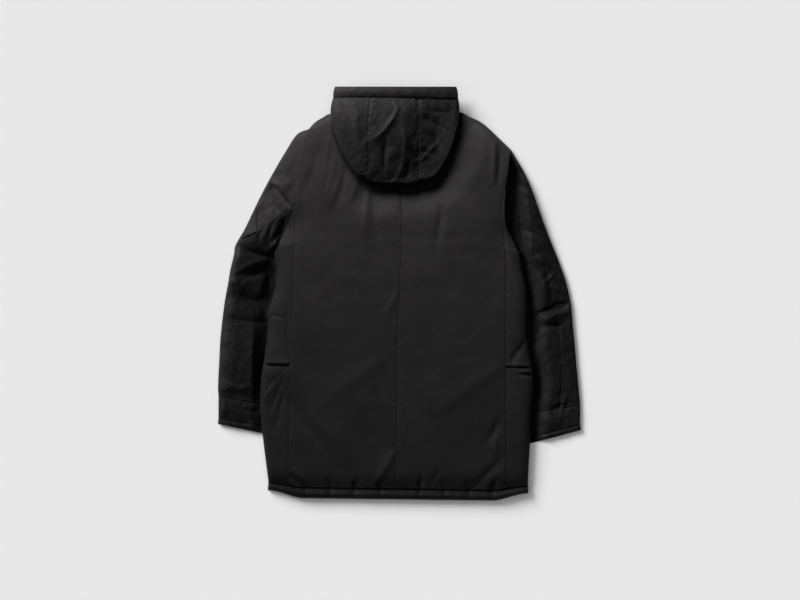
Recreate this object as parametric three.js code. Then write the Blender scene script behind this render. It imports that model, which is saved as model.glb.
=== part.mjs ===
// A padded, hooded parka laid flat, its back upwards and its front on the floor, with the hood folded
// down on the upper back. Millimetres, +Z up, +Y towards the hood, origin on the floor under the middle
// of the outline. The garment is a body tube, two sleeve tubes and a folded hood, cut into sewn panels.
import * as THREE from "three";

// Walls and gaps
const SEAM_GAP = 0.3; // between panels that are sewn together
const SLIT = 0.8; // between the back and the front layer inside a flat tube
const LAYER_SHARE = 0.45; // the lower layer's share of a tube's height
const NOSE_WALL = 0.6; // where the slit ends, as a share of the first column beside a folded edge

// Body
const BODY_NOSE = 12; // height of the folded side edge above the floor
const BODY_EDGE_RADIUS = 14;
const EDGE_COLUMNS = [6, 18]; // columns beside a folded side edge, in from it
const UNDERARM_COLUMN = 3;
const FLY_HALF_WIDTH = 32;
const HEM_CORNER_SHARE = 0.14; // of the hem's width, over which it curves up to each side
const FRONT_NECK_DROP = 62; // the front neckline lies this much lower than the back one
const NECK_CENTRE_SHARE = 0.47;
const NECK_HALF_SHARE = 0.3;
// The back's broad soft swellings: their height, and their lengths across, along and askew
const BILLOW = { height: 1.1, across: 47, shift: 0.6, along: 61, skew: 160 };
const SEAM_DIP = 0.8;
const POCKET_LIP = 2.2; // how far the pocket's upper lip stands over its lower one

// One row for each line across the body, from the hem up. yl and yr are its heights at the left and
// right edge, xl and xr the edges, sl, c and sr the side-back and centre-back seams, sag the hem's drop
// in the middle, rise the share of the shoulder line's curve, and h the height of the top layer.
const BODY_ROWS = [
  { yl: -431, yr: -438, xl: -289, sl: -242, c: -8, sr: 236, xr: 282, sag: -16.5, rise: 0, h: 15 },
  { yl: -423, yr: -431, xl: -289, sl: -242, c: -8, sr: 236, xr: 283, sag: -15, rise: 0, h: 22 },
  { yl: -414, yr: -422, xl: -288, sl: -242, c: -8, sr: 236, xr: 282, sag: -11, rise: 0, h: 18.5 },
  { yl: -388, yr: -390, xl: -291, sl: -243, c: -8, sr: 235, xr: 283, sag: -4, rise: 0, h: 24 },
  { yl: -332, yr: -332, xl: -298, sl: -243, c: -7, sr: 234, xr: 286, sag: 0, rise: 0, h: 24.5 },
  { yl: -266, yr: -266, xl: -305, sl: -243, c: -6, sr: 233, xr: 288, sag: 0, rise: 0, h: 25 },
  { yl: -211, yr: -211, xl: -305, sl: -243, c: -6, sr: 233, xr: 294, sag: 0, rise: 0, h: 25.5 },
  { yl: -174, yr: -176, xl: -302, sl: -242, c: -6, sr: 233, xr: 293, sag: 0, rise: 0, h: 25.5 },
  { yl: -152, yr: -159, xl: -298, sl: -242, c: -6, sr: 233, xr: 290, sag: 0, rise: 0, h: 25.5 },
  { yl: -123, yr: -123, xl: -294, sl: -241, c: -6, sr: 233, xr: 283, sag: 0, rise: 0, h: 25.5 },
  { yl: -79, yr: -79, xl: -289, sl: -239, c: -4, sr: 233, xr: 279, sag: 0, rise: 0, h: 25.5 },
  { yl: -31, yr: -31, xl: -285, sl: -235, c: -2, sr: 233, xr: 280, sag: 0, rise: 0, h: 25.5 },
  { yl: 9, yr: 9, xl: -273, sl: -234, c: 0, sr: 233, xr: 278, sag: 0, rise: 0, h: 25 },
  { yl: 53, yr: 50, xl: -270, sl: -232, c: 2, sr: 233, xr: 269, sag: 0, rise: 0, h: 25 },
  { yl: 97, yr: 86, xl: -276, sl: -231, c: 3, sr: 232, xr: 263, sag: 0, rise: 0, h: 24.5 },
  { yl: 119, yr: 101, xl: -263, sl: -230, c: 4, sr: 231, xr: 256, sag: 0, rise: 0, h: 24.5 },
  { yl: 138, yr: 119, xl: -254, sl: -230, c: 4, sr: 230, xr: 248, sag: 0, rise: 0, h: 24 },
  { yl: 158, yr: 136, xl: -243, sl: -230, c: 5, sr: 228, xr: 239, sag: 0, rise: 0, h: 24 },
  { yl: 180, yr: 152, xl: -235, sl: -233.5, c: 5, sr: 227, xr: 232, sag: 0, rise: 0, h: 23.5 },
  { yl: 200, yr: 174, xl: -226, sl: -226, c: 5, sr: 226, xr: 230, sag: 0, rise: 0.02, h: 23 },
  { yl: 229, yr: 196, xl: -223, sl: -223, c: 4, sr: 225, xr: 230, sag: 0, rise: 0.07, h: 22.5 },
  { yl: 262, yr: 229, xl: -220, sl: -220, c: 3, sr: 230.5, xr: 232, sag: 0, rise: 0.18, h: 22.5 },
  { yl: 295, yr: 262, xl: -216, sl: -216, c: 2, sr: 237, xr: 237, sag: 0, rise: 0.35, h: 22.5 },
  { yl: 328, yr: 288, xl: -210, sl: -210, c: 0, sr: 240, xr: 240, sag: 0, rise: 0.56, h: 22.5 },
  { yl: 353, yr: 307, xl: -203, sl: -203, c: 0, sr: 243, xr: 243, sag: 0, rise: 0.84, h: 20 },
  { yl: 363, yr: 317, xl: -199, sl: -199, c: 0, sr: 245, xr: 245, sag: 0, rise: 1, h: 10.5 },
];
const HEM_ROW = 2;
const POCKET_ROW = 8;
const UNDERARM_ROW = 14;
const TOP_ROW = BODY_ROWS.length - 1;
const JOIN_ROW = { left: 18, right: 21 }; // where the side panel runs out at the armhole

// The shoulder line and, under the hood, the back neckline
const TOP_LINE = [
  { x: -199, y: 363 },
  { x: -186, y: 377 },
  { x: -170, y: 387 },
  { x: -150, y: 396 },
  { x: -105, y: 392 },
  { x: -10, y: 384 },
  { x: 85, y: 394 },
  { x: 131, y: 400 },
  { x: 155, y: 389 },
  { x: 179, y: 378 },
  { x: 199, y: 361 },
  { x: 221, y: 340 },
  { x: 245, y: 317 },
];

// Height of the armhole edge from the underarm to the shoulder tip, shared by body and sleeve
const ARMHOLE_TOP = [9, 17, 20, 21.5, 22, 22, 22, 22, 22, 21.5, 18, 8];
const ARM_COLUMNS = ARMHOLE_TOP.length - 1;
const SEAM_COLUMN = 5; // the column of the sleeve's hind seam on the upper side
const FORE_COLUMN = 6; // and of its fore seam on the lower side

// Sleeves
const SLEEVE_VALLEY = 38; // width of the slope down to the body's edge
const SLEEVE_EDGE_RADIUS = 17;
const SLEEVE_NOSE = 8;
const TUCK = 3; // how far the sleeve's inner edge lies under the body's
const TUCKED_NOSE = 3;
const FREE_RINGS = 7; // rings near the underarm whose inner edge isn't tucked under the body
const FREE_GAP = 2.6;
const BOW_RINGS = 4; // rings over which the armhole's curve straightens
const FADE_RINGS = 3;

// One row for each ring of a sleeve, from the armhole to the cuff. iy is the height of its inner point,
// which lies along the body's edge, ox and oy its outer point, h its thickness, and seam the place of
// the hind seam as a share of the way out.
const SLEEVE_RINGS = {
  left: [
    { iy: 97, ox: -199, oy: 363, h: 22, seam: 0.5 },
    { iy: 93.5, ox: -226, oy: 350, h: 23, seam: 0.443 },
    { iy: 90, ox: -252, oy: 310, h: 24, seam: 0.447 },
    { iy: 87, ox: -274, oy: 273, h: 25, seam: 0.451 },
    { iy: 83.5, ox: -296, oy: 233, h: 26, seam: 0.465 },
    { iy: 80, ox: -318, oy: 189, h: 27, seam: 0.563 },
    { iy: 77, ox: -339, oy: 145, h: 26, seam: 0.703 },
    { iy: 72.5, ox: -360, oy: 108, h: 17, seam: 0.856 },
    { iy: 58, ox: -364, oy: 86, h: 27, seam: 0.88 },
    { iy: 31, ox: -372, oy: 53, h: 25, seam: 0.87 },
    { iy: 6, ox: -377, oy: 22, h: 24, seam: 0.85 },
    { iy: -20, ox: -383, oy: -9, h: 21, seam: 0.82 },
    { iy: -42, ox: -387, oy: -37, h: 23, seam: 0.79 },
    { iy: -64, ox: -390, oy: -62, h: 20, seam: 0.77 },
    { iy: -101, ox: -394, oy: -101, h: 24, seam: 0.75 },
    { iy: -134, ox: -396, oy: -141, h: 24, seam: 0.74 },
    { iy: -172, ox: -398, oy: -180, h: 23, seam: 0.73 },
    { iy: -205, ox: -399, oy: -207, h: 22, seam: 0.72 },
    { iy: -242, ox: -398, oy: -224, h: 17, seam: 0.71 },
    { iy: -266, ox: -398, oy: -251, h: 20, seam: 0.71 },
    { iy: -289, ox: -398, oy: -273, h: 14.5, seam: 0.71 },
    { iy: -299, ox: -399, oy: -280, h: 18, seam: 0.71 },
    { iy: -307, ox: -399, oy: -286, h: 12, seam: 0.71 },
  ],
  right: [
    { iy: 86, ox: 245, oy: 317, h: 22, seam: 0.5 },
    { iy: 82.5, ox: 254, oy: 301, h: 23, seam: 0.5 },
    { iy: 77, ox: 272, oy: 271, h: 24, seam: 0.5 },
    { iy: 70, ox: 289, oy: 235, h: 25, seam: 0.5 },
    { iy: 62, ox: 305, oy: 191, h: 26, seam: 0.5 },
    { iy: 51, ox: 322, oy: 143, h: 27, seam: 0.5 },
    { iy: 37, ox: 338, oy: 102, h: 27, seam: 0.5 },
    { iy: 22, ox: 353, oy: 64, h: 25, seam: 0.52 },
    { iy: -2, ox: 366, oy: 26, h: 26, seam: 0.57 },
    { iy: -40, ox: 376, oy: -18, h: 16, seam: 0.62 },
    { iy: -57, ox: 379, oy: -42, h: 25, seam: 0.66 },
    { iy: -77, ox: 381, oy: -68, h: 20, seam: 0.7 },
    { iy: -112, ox: 385, oy: -108, h: 25, seam: 0.7 },
    { iy: -145, ox: 388, oy: -145, h: 25, seam: 0.68 },
    { iy: -178, ox: 391, oy: -178, h: 24, seam: 0.64 },
    { iy: -213, ox: 394, oy: -211, h: 23, seam: 0.62 },
    { iy: -262, ox: 397, oy: -244, h: 17, seam: 0.6 },
    { iy: -288, ox: 397, oy: -262, h: 20, seam: 0.6 },
    { iy: -315, ox: 397, oy: -286, h: 14.5, seam: 0.6 },
    { iy: -324, ox: 398, oy: -293, h: 18, seam: 0.6 },
    { iy: -330, ox: 399, oy: -299, h: 12, seam: 0.6 },
  ],
};
// A sleeve's crest lies nearer one edge: the share of its height that is left towards each edge
const SLEEVE_TILT = {
  left: { inner: 0.5, from: 0.85, outer: 0.9, to: 0.8 },
  right: { inner: 0.9, from: 0.35, outer: 0.6, to: 0.3 },
};
const SLEEVE_CUTS = {
  left: { elbow: 13, cuff: 18, band: 20 },
  right: { elbow: 11, cuff: 16, band: 18 },
};

// Sleeve pocket: the corner of a patch on the left upper arm, wrapped towards the outer edge
const POCKET_PATCH = {
  near: { x0: -315, y0: 192, x1: -313, y1: 135 },
  far: { x0: -318, y0: 185, x1: -344, y1: 122 },
  rows: 9,
  columns: 6,
  lift: 1.3,
  thickness: 2,
};

// Hood: one row for each line across it, from the face opening down to the pouch's bottom fold, with its
// two edges, its two seams and the height of its crown.
const HOOD_ROWS = [
  { y: 429, xl: -145, sl: -63, sr: 42, xr: 128, h: 44 },
  { y: 409, xl: -150, sl: -65, sr: 42, xr: 131, h: 49 },
  { y: 388, xl: -150, sl: -67, sr: 42, xr: 130, h: 53 },
  { y: 364, xl: -145, sl: -69, sr: 42, xr: 125, h: 55 },
  { y: 338, xl: -136, sl: -69, sr: 42, xr: 118, h: 56 },
  { y: 317, xl: -128, sl: -68, sr: 42, xr: 111, h: 56 },
  { y: 295, xl: -116, sl: -68, sr: 42, xr: 101, h: 55 },
  { y: 273, xl: -102, sl: -70, sr: 42, xr: 87, h: 53 },
  { y: 255, xl: -86, sl: -73, sr: 42, xr: 72, h: 50 },
  { y: 243, xl: -72, sl: -72, sr: 42, xr: 54, h: 46 },
  { y: 233, xl: -52, sl: -52, sr: 38, xr: 38, h: 42 },
  { y: 228, xl: -32, sl: -32, sr: 24, xr: 24, h: 35 },
];
const HOOD_JOIN = { left: 8, right: 9 }; // where the hood's side pieces run out at the bottom fold
const HOOD_COLUMNS = 4; // in each of its three pieces
const HOOD_RIM = 33;
const HOOD_EDGE_RADIUS = 45;
const HOOD_LEAN = { from: -60, slope: 0.05 }; // the crown sinks towards the right
const HOOD_EDGE_SHARES = [0.12, 0.36]; // columns beside the hood's edges, across its side pieces
const HOOD_WALL = 6;
const HOOD_LIP = 3.5; // how far its last inner row lies in and down from the bottom fold
const HOOD_INSET = 9; // the folded layers lie this far in from the hood's edge
const FOLD_PAST_SHELL = 12; // how far the folded layers reach on under the face opening's hem
const FOLD_BOTTOM = 24;
const FOLD_ROUND = 3;
const FOLD_GAP = 0.5;
const FOLD_COLUMNS = 8;
const FOLD_CLEARANCE = 3; // under the shell
const BAND_TOP = [41, 45, 44];
const BAND_ROWS = [429, 437, 445];
const BAND_NOSE = { y: 453, z: 37 };
const BAND_UNDER = { y: 445, z: 31 };
const BAND_END = { y: 431, z: 30.5 };
const BAND_SLIT = 37;
const BAND_NARROWING = { most: 8, over: 24 }; // how much it narrows towards its outer edge
const BAND_END_INSET = 3;

// Front collar, flat on the floor under the hood's opening
const COLLAR = { left: -128, right: 112, top: 443, height: 23, round: 6, columns: 8 };
const COLLAR_LAYERS = [
  { inset: 5, z: 0 },
  { inset: 0, z: 5 },
  { inset: 0, z: 9 },
  { inset: 4, z: 11.5 },
  { inset: 0, z: 14 },
  { inset: 0, z: 18 },
  { inset: 6, z: 23 },
];

const SHELL = new THREE.Color(0x242324);
const material = (shade) =>
  new THREE.MeshStandardMaterial({
    color: SHELL.clone().multiplyScalar(shade),
    roughness: 0.72,
    metalness: 0,
  });

const lerp = THREE.MathUtils.lerp;
const smooth = THREE.MathUtils.smoothstep;
const clamp = THREE.MathUtils.clamp;
const vec = (x, y, z) => new THREE.Vector3(x, y, z);

// The value of column `to` at the place `at` of column `from`, in a table sorted either way
function along(table, from, to, at) {
  const rising = table[table.length - 1][from] > table[0][from];
  let k = 1;
  while (k < table.length - 1 && (rising ? table[k][from] < at : table[k][from] > at)) k++;
  const a = table[k - 1];
  const b = table[k];
  return lerp(a[to], b[to], clamp((at - a[from]) / (b[from] - a[from]), 0, 1));
}

// The value at place j of a list of [column, value] pairs
function between(anchors, j) {
  let k = 1;
  while (k < anchors.length - 1 && anchors[k][0] < j) k++;
  const [j0, v0] = anchors[k - 1];
  const [j1, v1] = anchors[k];
  return lerp(v0, v1, (j - j0) / (j1 - j0));
}

// Quarter of an ellipse: 0 at the edge, 1 at the distance r and beyond
const rounded = (d, r) => Math.sqrt(1 - (1 - clamp(d / r, 0, 1)) ** 2);

// Walls: the kept cells of a grid, as outer points over inner points and closed round their border.
// Border points move inwards by half the seam's gap.
function wall(name, shade, grid) {
  const { rows, columns, closed = false, outer, inner, keep } = grid;
  const wrap = (j) => (closed ? (j + columns) % columns : j);
  const kept = (i, j) =>
    i >= 0 && i < rows && (closed || (j >= 0 && j < columns)) && keep(i, wrap(j));
  const corners = (i, j) => [
    [i, j],
    [i, wrap(j + 1)],
    [i + 1, wrap(j + 1)],
    [i + 1, j],
  ];
  const centre = (point, i, j) =>
    corners(i, wrap(j))
      .reduce((sum, [a, b]) => sum.add(point(a, b)), vec(0, 0, 0))
      .divideScalar(4);
  const placed = (point, i, j) => {
    const near = [
      [i - 1, j - 1],
      [i - 1, j],
      [i, j - 1],
      [i, j],
    ].filter(([a, b]) => kept(a, b));
    const p = point(i, j);
    if (near.length === 4) return p;
    const reach = (SEAM_GAP / 2) * (near.length === 2 ? 1 : Math.SQRT2);
    const to = near.reduce((sum, [a, b]) => sum.add(centre(point, a, b)), vec(0, 0, 0));
    return p.add(to.divideScalar(near.length).sub(p).setLength(reach));
  };
  const positions = [];
  const ids = new Map();
  const id = (layer, i, j) => {
    const key = `${layer} ${i} ${wrap(j)}`;
    if (!ids.has(key)) {
      ids.set(key, positions.length / 3);
      positions.push(...placed(layer ? inner : outer, i, wrap(j)).toArray());
    }
    return ids.get(key);
  };
  const faces = [];
  const quad = (a, b, c, d) => faces.push([a, b, c], [a, c, d]);
  for (let i = 0; i < rows; i++)
    for (let j = 0; j < columns; j++) {
      if (!kept(i, j)) continue;
      const ring = corners(i, j);
      quad(...ring.map(([a, b]) => id(0, a, b)));
      quad(...ring.map(([a, b]) => id(1, a, b)).reverse());
      const beside = [kept(i - 1, j), kept(i, j + 1), kept(i + 1, j), kept(i, j - 1)];
      beside.forEach((isKept, side) => {
        if (isKept) return;
        const [a, b] = [ring[side], ring[(side + 1) % 4]];
        quad(id(0, ...b), id(0, ...a), id(1, ...a), id(1, ...b));
      });
    }
  const at = (k) => vec(...positions.slice(3 * k, 3 * k + 3));
  const volume = faces.reduce((sum, [a, b, c]) => sum + at(a).dot(at(b).cross(at(c))), 0);
  if (volume < 0) faces.forEach((face) => face.reverse());
  const geometry = new THREE.BufferGeometry();
  geometry.setAttribute("position", new THREE.Float32BufferAttribute(positions, 3));
  geometry.setIndex(faces.flat());
  const mesh = new THREE.Mesh(geometry, material(shade));
  mesh.name = name;
  return mesh;
}

// The middle of the wall at a folded edge, seen in section
function noseInner(nose, next) {
  const p = nose.clone().lerp(next, NOSE_WALL);
  const low = lerp(nose.z, 0, NOSE_WALL);
  return vec(p.x, p.y, (p.z + low) / 2);
}

// Body: 32 columns round the tube, over the back from the left edge to the right and back underneath
const BODY = { leftSeam: 3, centre: 9, rightSeam: 15, rightEdge: 18, frontRight: 20, flyRight: 24 };
BODY.flyLeft = 26;
BODY.frontLeft = 30;
BODY.columns = 32;

function bodyX(i, j) {
  const { xl, sl, c, sr, xr } = BODY_ROWS[i];
  const folded = i <= UNDERARM_ROW;
  const first = i === UNDERARM_ROW ? UNDERARM_COLUMN : folded ? EDGE_COLUMNS[0] : 0;
  const leftNext = folded ? xl + EDGE_COLUMNS[1] : (xl + sl) / 2;
  const rightNext = folded ? xr - EDGE_COLUMNS[1] : (xr + sr) / 2;
  if (j <= BODY.rightEdge)
    return between(
      [
        [0, xl],
        [1, xl + first],
        [2, leftNext],
        [BODY.leftSeam, sl],
        [BODY.centre, c],
        [BODY.rightSeam, sr],
        [16, rightNext],
        [17, xr - first],
        [BODY.rightEdge, xr],
      ],
      j,
    );
  return between(
    [
      [BODY.rightEdge, xr],
      [19, xr - first],
      [BODY.frontRight, sr],
      [BODY.flyRight, c + FLY_HALF_WIDTH],
      [BODY.flyLeft, c - FLY_HALF_WIDTH],
      [BODY.frontLeft, sl],
      [31, xl + first],
      [BODY.columns, xl],
    ],
    j,
  );
}

// The line of row i at the share v of the way across, on the back or on the front
function bodyY(i, v, front) {
  const row = BODY_ROWS[i];
  const top = BODY_ROWS[TOP_ROW];
  const corner = HEM_CORNER_SHARE;
  const plateau = smooth(v, 0, corner) * (1 - smooth(v, 1 - corner, 1));
  const line = along(TOP_LINE, "x", "y", lerp(top.xl, top.xr, v));
  let curve = line - lerp(top.yl, top.yr, v);
  if (front) {
    const away = clamp(Math.abs(v - NECK_CENTRE_SHARE) / NECK_HALF_SHARE, 0, 1);
    curve -= FRONT_NECK_DROP * (1 - away * away);
  }
  return lerp(row.yl, row.yr, v) + row.sag * plateau + row.rise * curve;
}

// Height of the top layer's outer face, with or without its soft swellings
function bodyTop(i, x, y, swollen = true) {
  const row = BODY_ROWS[i];
  const edge = Math.min(x - row.xl, row.xr - x);
  const { height, across, shift, along: lengthwise, skew } = BILLOW;
  const wave = Math.sin(x / across + shift) * Math.cos(y / lengthwise - x / skew);
  const h = row.h + (swollen && i > HEM_ROW && i < TOP_ROW ? height * wave : 0);
  if (i <= UNDERARM_ROW) return BODY_NOSE + (h - BODY_NOSE) * rounded(edge, BODY_EDGE_RADIUS);
  const armhole = ARMHOLE_TOP[i - UNDERARM_ROW];
  return lerp(armhole, h, smooth(edge, 0, 60));
}

function bodyPoint(i, j, layer) {
  const { xl, xr } = BODY_ROWS[i];
  const front = j > BODY.rightEdge;
  const x = bodyX(i, j);
  const v = (x - xl) / (xr - xl);
  const y = bodyY(i, v, front);
  const top = bodyTop(i, x, y);
  const isNose = (j === 0 || j === BODY.rightEdge) && i <= UNDERARM_ROW;
  if (isNose) {
    const nose = vec(x, y, BODY_NOSE);
    return layer ? noseInner(nose, bodyPoint(i, j ? j - 1 : 1, 0)) : nose;
  }
  const level = front && i > JOIN_ROW.right ? Math.min(i + 1, TOP_ROW) : i;
  const slit = LAYER_SHARE * bodyTop(level, x, y, false);
  if (layer) return vec(x, y, slit + (front ? -SLIT / 2 : SLIT / 2));
  const onSeam = j === BODY.leftSeam || j === BODY.centre || j === BODY.rightSeam;
  const dips = onSeam && i < TOP_ROW - 1 && bodyX(i, j) !== xl && bodyX(i, j) !== xr;
  return vec(x, y, front ? 0 : top - (dips ? SEAM_DIP : 0));
}

function bodyPanel(name, shade, keep, lift = () => 0) {
  return wall(name, shade, {
    rows: TOP_ROW,
    columns: BODY.columns,
    closed: true,
    outer: (i, j) => {
      const p = bodyPoint(i, j, 0);
      return j > BODY.rightEdge || p.z < BODY_NOSE + 1 ? p : p.setZ(p.z + lift(i));
    },
    inner: (i, j) => bodyPoint(i, j, 1),
    keep,
  });
}

const within = (value, from, to) => value >= from && value < to;

function sidePanel(side, part) {
  const left = side === "left";
  const cells = left ? [30, 31, 0, 1, 2] : [15, 16, 17, 18, 19];
  const fold = left ? [31, 0] : [17, 18];
  const upper = part === "upper";
  return bodyPanel(
    `side_${side}_${part}`,
    upper ? 0.94 : 0.9,
    (i, j) => {
      const inRows = upper ? within(i, POCKET_ROW, JOIN_ROW[side]) : within(i, HEM_ROW, POCKET_ROW);
      return inRows && cells.includes(j) && (i < UNDERARM_ROW || !fold.includes(j));
    },
    (i) => (i === POCKET_ROW ? (upper ? POCKET_LIP : -POCKET_LIP) : 0),
  );
}

const inBack = (side) => (i, j) =>
  i >= HEM_ROW &&
  (side === "left"
    ? within(j, BODY.leftSeam, BODY.centre)
    : within(j, BODY.centre, BODY.rightSeam));

const body = [
  bodyPanel("back_left", 1, inBack("left")),
  bodyPanel("back_right", 1.02, inBack("right")),
  bodyPanel("front_left", 0.9, (i, j) => i >= HEM_ROW && within(j, BODY.flyLeft, BODY.frontLeft)),
  bodyPanel("front_right", 0.92, (i, j) => i >= HEM_ROW && within(j, BODY.frontRight, BODY.flyRight)),
  bodyPanel("front_fly", 1.05, (i, j) => within(j, BODY.flyRight, BODY.flyLeft)),
  bodyPanel("hem_band", 1.08, (i, j) => i < HEM_ROW && !within(j, BODY.flyRight, BODY.flyLeft)),
  ...["left", "right"].flatMap((side) => [sidePanel(side, "upper"), sidePanel(side, "lower")]),
];

// Sleeves
function armhole(side, c) {
  const row = BODY_ROWS[UNDERARM_ROW + c];
  const sign = side === "left" ? -1 : 1;
  const x = side === "left" ? row.xl : row.xr;
  const y = side === "left" ? row.yl : row.yr;
  return c === 0 ? vec(x + sign * FREE_GAP, y + 2, 0) : vec(x, y, 0);
}

function sleeveEdge(side, r) {
  const ring = SLEEVE_RINGS[side][r];
  const sign = side === "left" ? -1 : 1;
  const rows = BODY_ROWS.slice(0, UNDERARM_ROW + 1);
  const edge =
    side === "left" ? along(rows, "yl", "xl", ring.iy) : along(rows, "yr", "xr", ring.iy);
  const tuck = lerp(-FREE_GAP, TUCK, clamp((r - FREE_RINGS) / 2, 0, 1));
  return {
    inner: r === 0 ? armhole(side, 0) : vec(edge - sign * tuck, ring.iy, 0),
    outer: vec(ring.ox, ring.oy, 0),
  };
}

function sleeveShare(ring, c) {
  if (c <= SEAM_COLUMN) return (ring.seam * c) / SEAM_COLUMN;
  return lerp(ring.seam, 1, (c - SEAM_COLUMN) / (ARM_COLUMNS - SEAM_COLUMN));
}

// Place in plan of column c of ring r: a straight ring, bowed near the armhole to follow its curve
function sleevePlan(side, r, c) {
  const straight = (ring) => {
    const { inner, outer } = sleeveEdge(side, ring);
    return inner.lerp(outer, sleeveShare(SLEEVE_RINGS[side][ring], c));
  };
  const bow = armhole(side, c).sub(straight(0));
  return straight(r).addScaledVector(bow, clamp(1 - r / BOW_RINGS, 0, 1));
}

function sleeveTop(side, r, c) {
  const ring = SLEEVE_RINGS[side][r];
  const { inner, outer } = sleeveEdge(side, r);
  const width = inner.distanceTo(outer);
  const share = sleeveShare(ring, c);
  const low = lerp(ARMHOLE_TOP[0], TUCKED_NOSE, clamp(r / FREE_RINGS, 0, 1));
  const slope = Math.sin((Math.PI / 2) * clamp((share * width) / SLEEVE_VALLEY, 0, 1)) ** 2;
  const tilt = SLEEVE_TILT[side];
  const inwards = lerp(tilt.inner, 1, smooth(share, 0, tilt.from));
  const outwards = lerp(1, tilt.outer, smooth(share, tilt.to, 1));
  const crest = Math.max(ring.h * inwards * outwards, SLEEVE_NOSE + 2);
  const rise = lerp(low, crest, slope);
  const own = SLEEVE_NOSE + (rise - SLEEVE_NOSE) * rounded((1 - share) * width, SLEEVE_EDGE_RADIUS);
  const height = share < 0.5 ? rise : own;
  return lerp(ARMHOLE_TOP[c], height, clamp(r / FADE_RINGS, 0, 1));
}

function sleevePoint(side, r, k, layer) {
  const under = k > ARM_COLUMNS;
  const c = under ? 2 * ARM_COLUMNS - k : k;
  const p = sleevePlan(side, r, c);
  const top = sleeveTop(side, r, c);
  if (c === 0 || c === ARM_COLUMNS) {
    const nose = p.setZ(top);
    return layer ? noseInner(nose, sleevePoint(side, r, c ? c - 1 : 1, 0)) : nose;
  }
  if (layer) return p.setZ(LAYER_SHARE * top + (under ? -SLIT / 2 : SLIT / 2));
  return p.setZ(under ? 0 : top);
}

function sleevePanel(name, shade, side, keep) {
  return wall(name, shade, {
    rows: SLEEVE_RINGS[side].length - 1,
    columns: 2 * ARM_COLUMNS,
    closed: true,
    outer: (i, j) => sleevePoint(side, i, j, 0),
    inner: (i, j) => sleevePoint(side, i, j, 1),
    keep,
  });
}

function sleeve(side) {
  const { elbow, cuff, band } = SLEEVE_CUTS[side];
  const isTop = (k) => within(k, SEAM_COLUMN, 2 * ARM_COLUMNS - FORE_COLUMN);
  return [
    sleevePanel(`sleeve_${side}_top`, 1, side, (i, k) => i < cuff && isTop(k)),
    sleevePanel(`sleeve_${side}_under`, 0.92, side, (i, k) => i < elbow && !isTop(k)),
    sleevePanel(`sleeve_${side}_forearm`, 0.96, side, (i, k) => within(i, elbow, cuff) && !isTop(k)),
    sleevePanel(`cuff_${side}`, 0.94, side, (i) => within(i, cuff, band)),
    sleevePanel(`cuff_band_${side}`, 1.08, side, (i) => i >= band),
  ];
}

// Height of the left sleeve's upper face at a place in plan
function sleeveHeight(side, x, y) {
  const at = vec(x, y, 0);
  const found = { z: 0 };
  for (let r = 0; r < SLEEVE_CUTS[side].elbow; r++)
    for (let c = 0; c < ARM_COLUMNS; c++) {
      const [a, b, d, e] = [
        [r, c],
        [r, c + 1],
        [r + 1, c + 1],
        [r + 1, c],
      ].map(([i, k]) => sleevePoint(side, i, k, 0));
      for (const facet of [
        [a, b, d],
        [a, d, e],
      ]) {
        const flat = facet.map((p) => vec(p.x, p.y, 0));
        const share = THREE.Triangle.getBarycoord(at, ...flat, vec(0, 0, 0));
        if (share && Math.min(share.x, share.y, share.z) > -1e-6)
          found.z = facet[0].z * share.x + facet[1].z * share.y + facet[2].z * share.z;
      }
    }
  return found.z;
}

function sleevePocket() {
  const { near, far, rows, columns, lift, thickness } = POCKET_PATCH;
  const edge = ({ x0, y0, x1, y1 }, share) => vec(lerp(x0, x1, share), lerp(y0, y1, share), 0);
  const point = (i, j) => {
    const p = edge(near, i / rows).lerp(edge(far, i / rows), j / columns);
    return p.setZ(sleeveHeight("left", p.x, p.y) + lift);
  };
  return wall("sleeve_pocket_left", 1.1, {
    rows,
    columns,
    outer: (i, j) => point(i, j).add(vec(0, 0, thickness)),
    inner: point,
    keep: () => true,
  });
}

// Hood
const HOOD_ALL = 3 * HOOD_COLUMNS;

function hoodX(row, j) {
  return between(
    [
      [0, row.xl],
      [1, lerp(row.xl, row.sl, HOOD_EDGE_SHARES[0])],
      [2, lerp(row.xl, row.sl, HOOD_EDGE_SHARES[1])],
      [HOOD_COLUMNS, row.sl],
      [2 * HOOD_COLUMNS, row.sr],
      [HOOD_ALL - 2, lerp(row.xr, row.sr, HOOD_EDGE_SHARES[1])],
      [HOOD_ALL - 1, lerp(row.xr, row.sr, HOOD_EDGE_SHARES[0])],
      [HOOD_ALL, row.xr],
    ],
    j,
  );
}

// Height of the hood's outer face at a place in plan
function hoodTop(row, x) {
  const edge = Math.min(x - row.xl, row.xr - x);
  const sunk = HOOD_LEAN.slope * Math.max(0, x - HOOD_LEAN.from);
  const crown = Math.max(row.h - sunk, HOOD_RIM + 1);
  return HOOD_RIM + (crown - HOOD_RIM) * rounded(edge, HOOD_EDGE_RADIUS);
}

function hoodPoint(i, j, layer) {
  const row = HOOD_ROWS[i];
  const x = hoodX(row, j);
  const p = vec(x, row.y, hoodTop(row, x));
  if (!layer) return p;
  const last = i === HOOD_ROWS.length - 1;
  const inward = HOOD_WALL * (j === 0 ? 1 : j === HOOD_ALL ? -1 : 0);
  return p.add(last ? vec(0, HOOD_LIP, -HOOD_LIP) : vec(inward, 0, -HOOD_WALL));
}

function hoodPanel(name, shade, keep) {
  return wall(name, shade, {
    rows: HOOD_ROWS.length - 1,
    columns: HOOD_ALL,
    outer: (i, j) => hoodPoint(i, j, 0),
    inner: (i, j) => hoodPoint(i, j, 1),
    keep,
  });
}

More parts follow.
